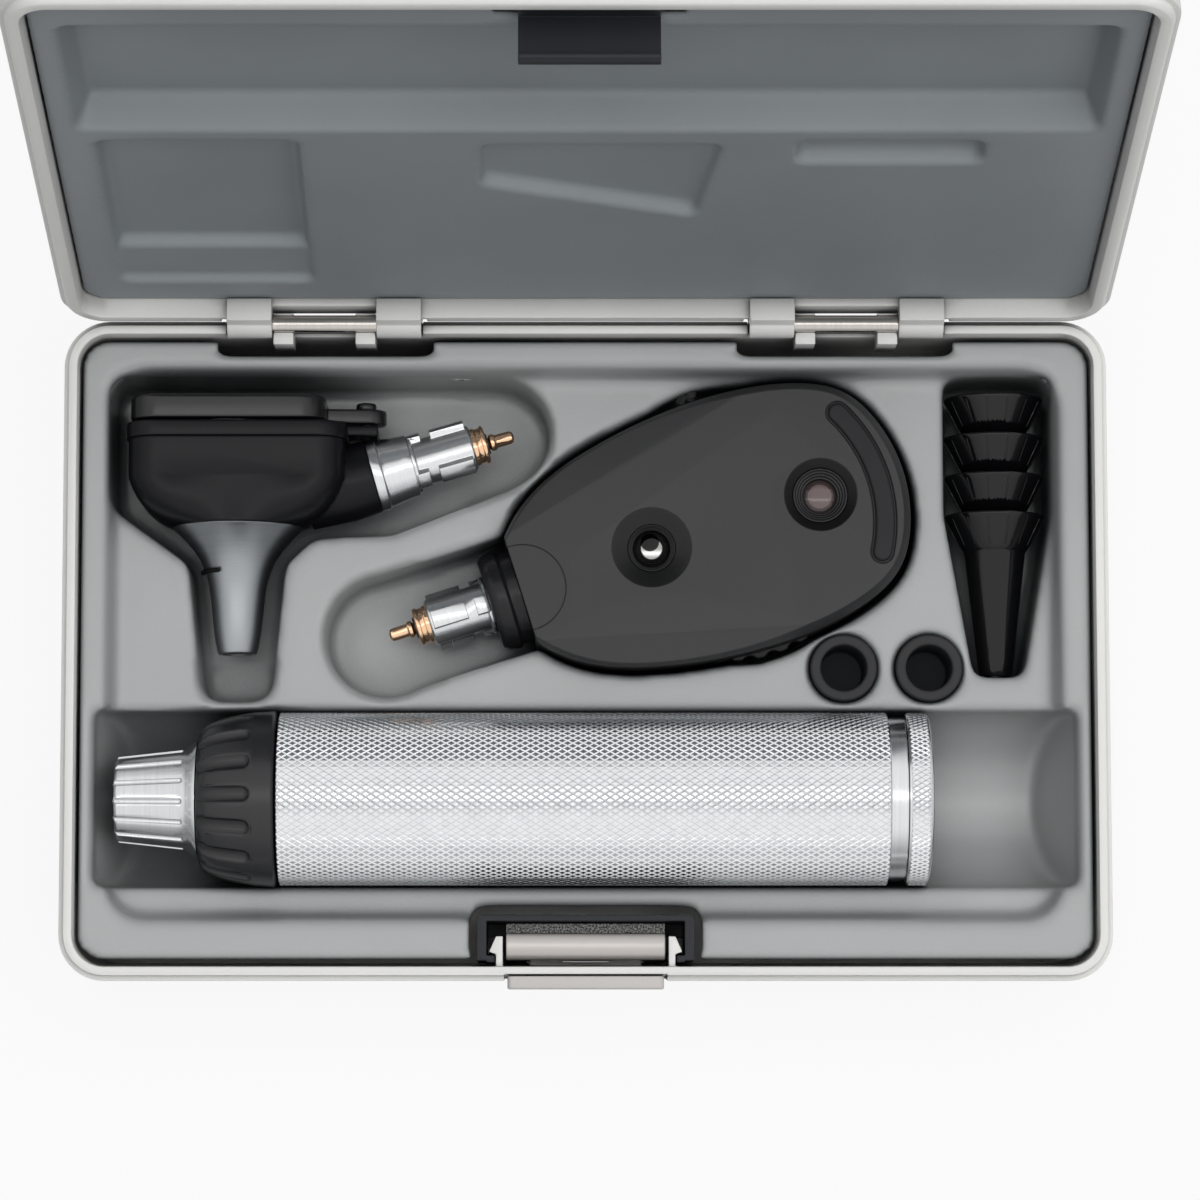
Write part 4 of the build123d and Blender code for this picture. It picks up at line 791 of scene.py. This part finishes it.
# thin ribs stiffen each mouth and lean in with its wall
rib_count = 14
rib_size = (0.00032, 0.0046, 0.0007)
rib_depth = 0.0032
rib_radius = 0.0071
rib_lean = 0.52
for number in range(1, specula_count + 1):
    rim = first_rim + rim_step * (number - 1)
    fins = []
    for step in range(rib_count):
        bpy.ops.object.select_all(action="DESELECT")
        bpy.ops.mesh.primitive_cube_add(
            size=1, location=(0, rim - rib_depth, rib_radius), scale=rib_size
        )
        fin = bpy.context.active_object
        bpy.ops.object.transform_apply(location=True, rotation=True, scale=True)
        for corner in fin.data.vertices:
            corner.co.z -= rib_lean * (rim - rib_depth - corner.co.y)
        fin.location = (stack_x, 0, stack_z)
        fin.rotation_euler = (0, tau * (step + 0.5) / rib_count, 0)
        bpy.ops.object.transform_apply(location=True, rotation=True, scale=True)
        fins.append(fin)
    for fin in fins:
        fin.select_set(True)
    bpy.ops.object.join()
    ribs = own_piece(f"speculum_{number}_ribs", "specula", specula_black)
    broken_edges(ribs, 0.00008)

# ---- Floor, light and camera ---------------------------------------------------------------------
# The open case lies on a plain white table under one broad soft lamp. A narrow strip lamp beside it
# shows only in what is polished.


def seen_rays(nodes, links):
    """1 for what is seen straight, in a polished surface or through glass, and 0 for other rays."""
    path = nodes.new("ShaderNodeLightPath")
    first = nodes.new("ShaderNodeMath")
    first.operation = "MAXIMUM"
    second = nodes.new("ShaderNodeMath")
    second.operation = "MAXIMUM"
    links.new(path.outputs["Is Camera Ray"], first.inputs[0])
    links.new(path.outputs["Is Glossy Ray"], first.inputs[1])
    links.new(first.outputs["Value"], second.inputs[0])
    links.new(path.outputs["Is Transmission Ray"], second.inputs[1])
    return second.outputs["Value"]


bpy.ops.object.select_all(action="DESELECT")
bpy.ops.mesh.primitive_plane_add(size=4, location=(0, 0, -0.0001))
floor = bpy.context.active_object
floor.name = "table_top"
bpy.ops.object.transform_apply(location=True, rotation=True, scale=True)
table_white = bpy.data.materials.new("table_white")
table_white.use_nodes = True
nodes = table_white.node_tree.nodes
links = table_white.node_tree.links
matt = nodes["Principled BSDF"]
matt.inputs["Base Color"].default_value = (0.5, 0.5, 0.5, 1)
matt.inputs["Roughness"].default_value = 0.8
glow = nodes.new("ShaderNodeEmission")
glow.inputs["Color"].default_value = (1, 1, 1, 1)
glow.inputs["Strength"].default_value = 1
share = nodes.new("ShaderNodeMath")
share.operation = "MULTIPLY"
share.inputs[1].default_value = 0.9
mix = nodes.new("ShaderNodeMixShader")
links.new(seen_rays(nodes, links), share.inputs[0])
links.new(share.outputs["Value"], mix.inputs["Fac"])
links.new(matt.outputs["BSDF"], mix.inputs[1])
links.new(glow.outputs["Emission"], mix.inputs[2])
links.new(mix.outputs["Shader"], nodes["Material Output"].inputs["Surface"])
floor.data.materials.append(table_white)

studio = bpy.data.worlds.new("studio")
studio.use_nodes = True
bpy.context.scene.world = studio
nodes = studio.node_tree.nodes
links = studio.node_tree.links
around = nodes["Background"]
around.inputs["Color"].default_value = (0.93, 0.96, 1.0, 1)
around.inputs["Strength"].default_value = 0.26
# what is seen instead, straight or in a polished surface: a white ceiling over greyer walls
height = nodes.new("ShaderNodeTexCoord")
split = nodes.new("ShaderNodeSeparateXYZ")
wall = nodes.new("ShaderNodeValToRGB")
wall.color_ramp.elements[0].position = 0.0
wall.color_ramp.elements[0].color = (0.30, 0.31, 0.32, 1)
wall.color_ramp.elements[1].position = 0.62
wall.color_ramp.elements[1].color = (1, 1, 1, 1)
behind = nodes.new("ShaderNodeBackground")
behind.inputs["Strength"].default_value = 1
mix = nodes.new("ShaderNodeMixShader")
links.new(height.outputs["Generated"], split.inputs["Vector"])
links.new(split.outputs["Z"], wall.inputs["Fac"])
links.new(wall.outputs["Color"], behind.inputs["Color"])
links.new(seen_rays(nodes, links), mix.inputs["Fac"])
links.new(around.outputs["Background"], mix.inputs[1])
links.new(behind.outputs["Background"], mix.inputs[2])
links.new(mix.outputs["Shader"], nodes["World Output"].inputs["Surface"])


def hung_lamp(name, wide, deep, watts, place, turn=(0, 0, 0)):
    """A flat rectangular lamp hung over the table."""
    lamp = bpy.data.lights.new(name, "AREA")
    lamp.shape = "RECTANGLE"
    lamp.size = wide
    lamp.size_y = deep
    lamp.energy = watts
    hung = bpy.data.objects.new(name, lamp)
    hung.location = place
    hung.rotation_euler = turn
    bpy.context.scene.collection.objects.link(hung)
    return hung


softbox = hung_lamp("softbox", 2.2, 2.0, 35.5, (0.38, 0.05, 1.45), (radians(-1), radians(10), 0))
softbox.visible_glossy = False
strip = hung_lamp("strip", 1.6, 0.12, 1.5, (0, 0.02, 1.3))
strip.visible_camera = False
strip.visible_diffuse = False

lens = bpy.data.cameras.new("camera")
lens.lens = 141
lens.sensor_width = 36
lens.shift_x = 0.0383
camera = bpy.data.objects.new("camera", lens)
camera.location = (-0.00546, -0.0790, 0.8383)
camera.rotation_euler = (radians(6.15), 0, 0)
bpy.context.scene.collection.objects.link(camera)
bpy.context.scene.camera = camera
bpy.context.scene.view_settings.view_transform = "Standard"
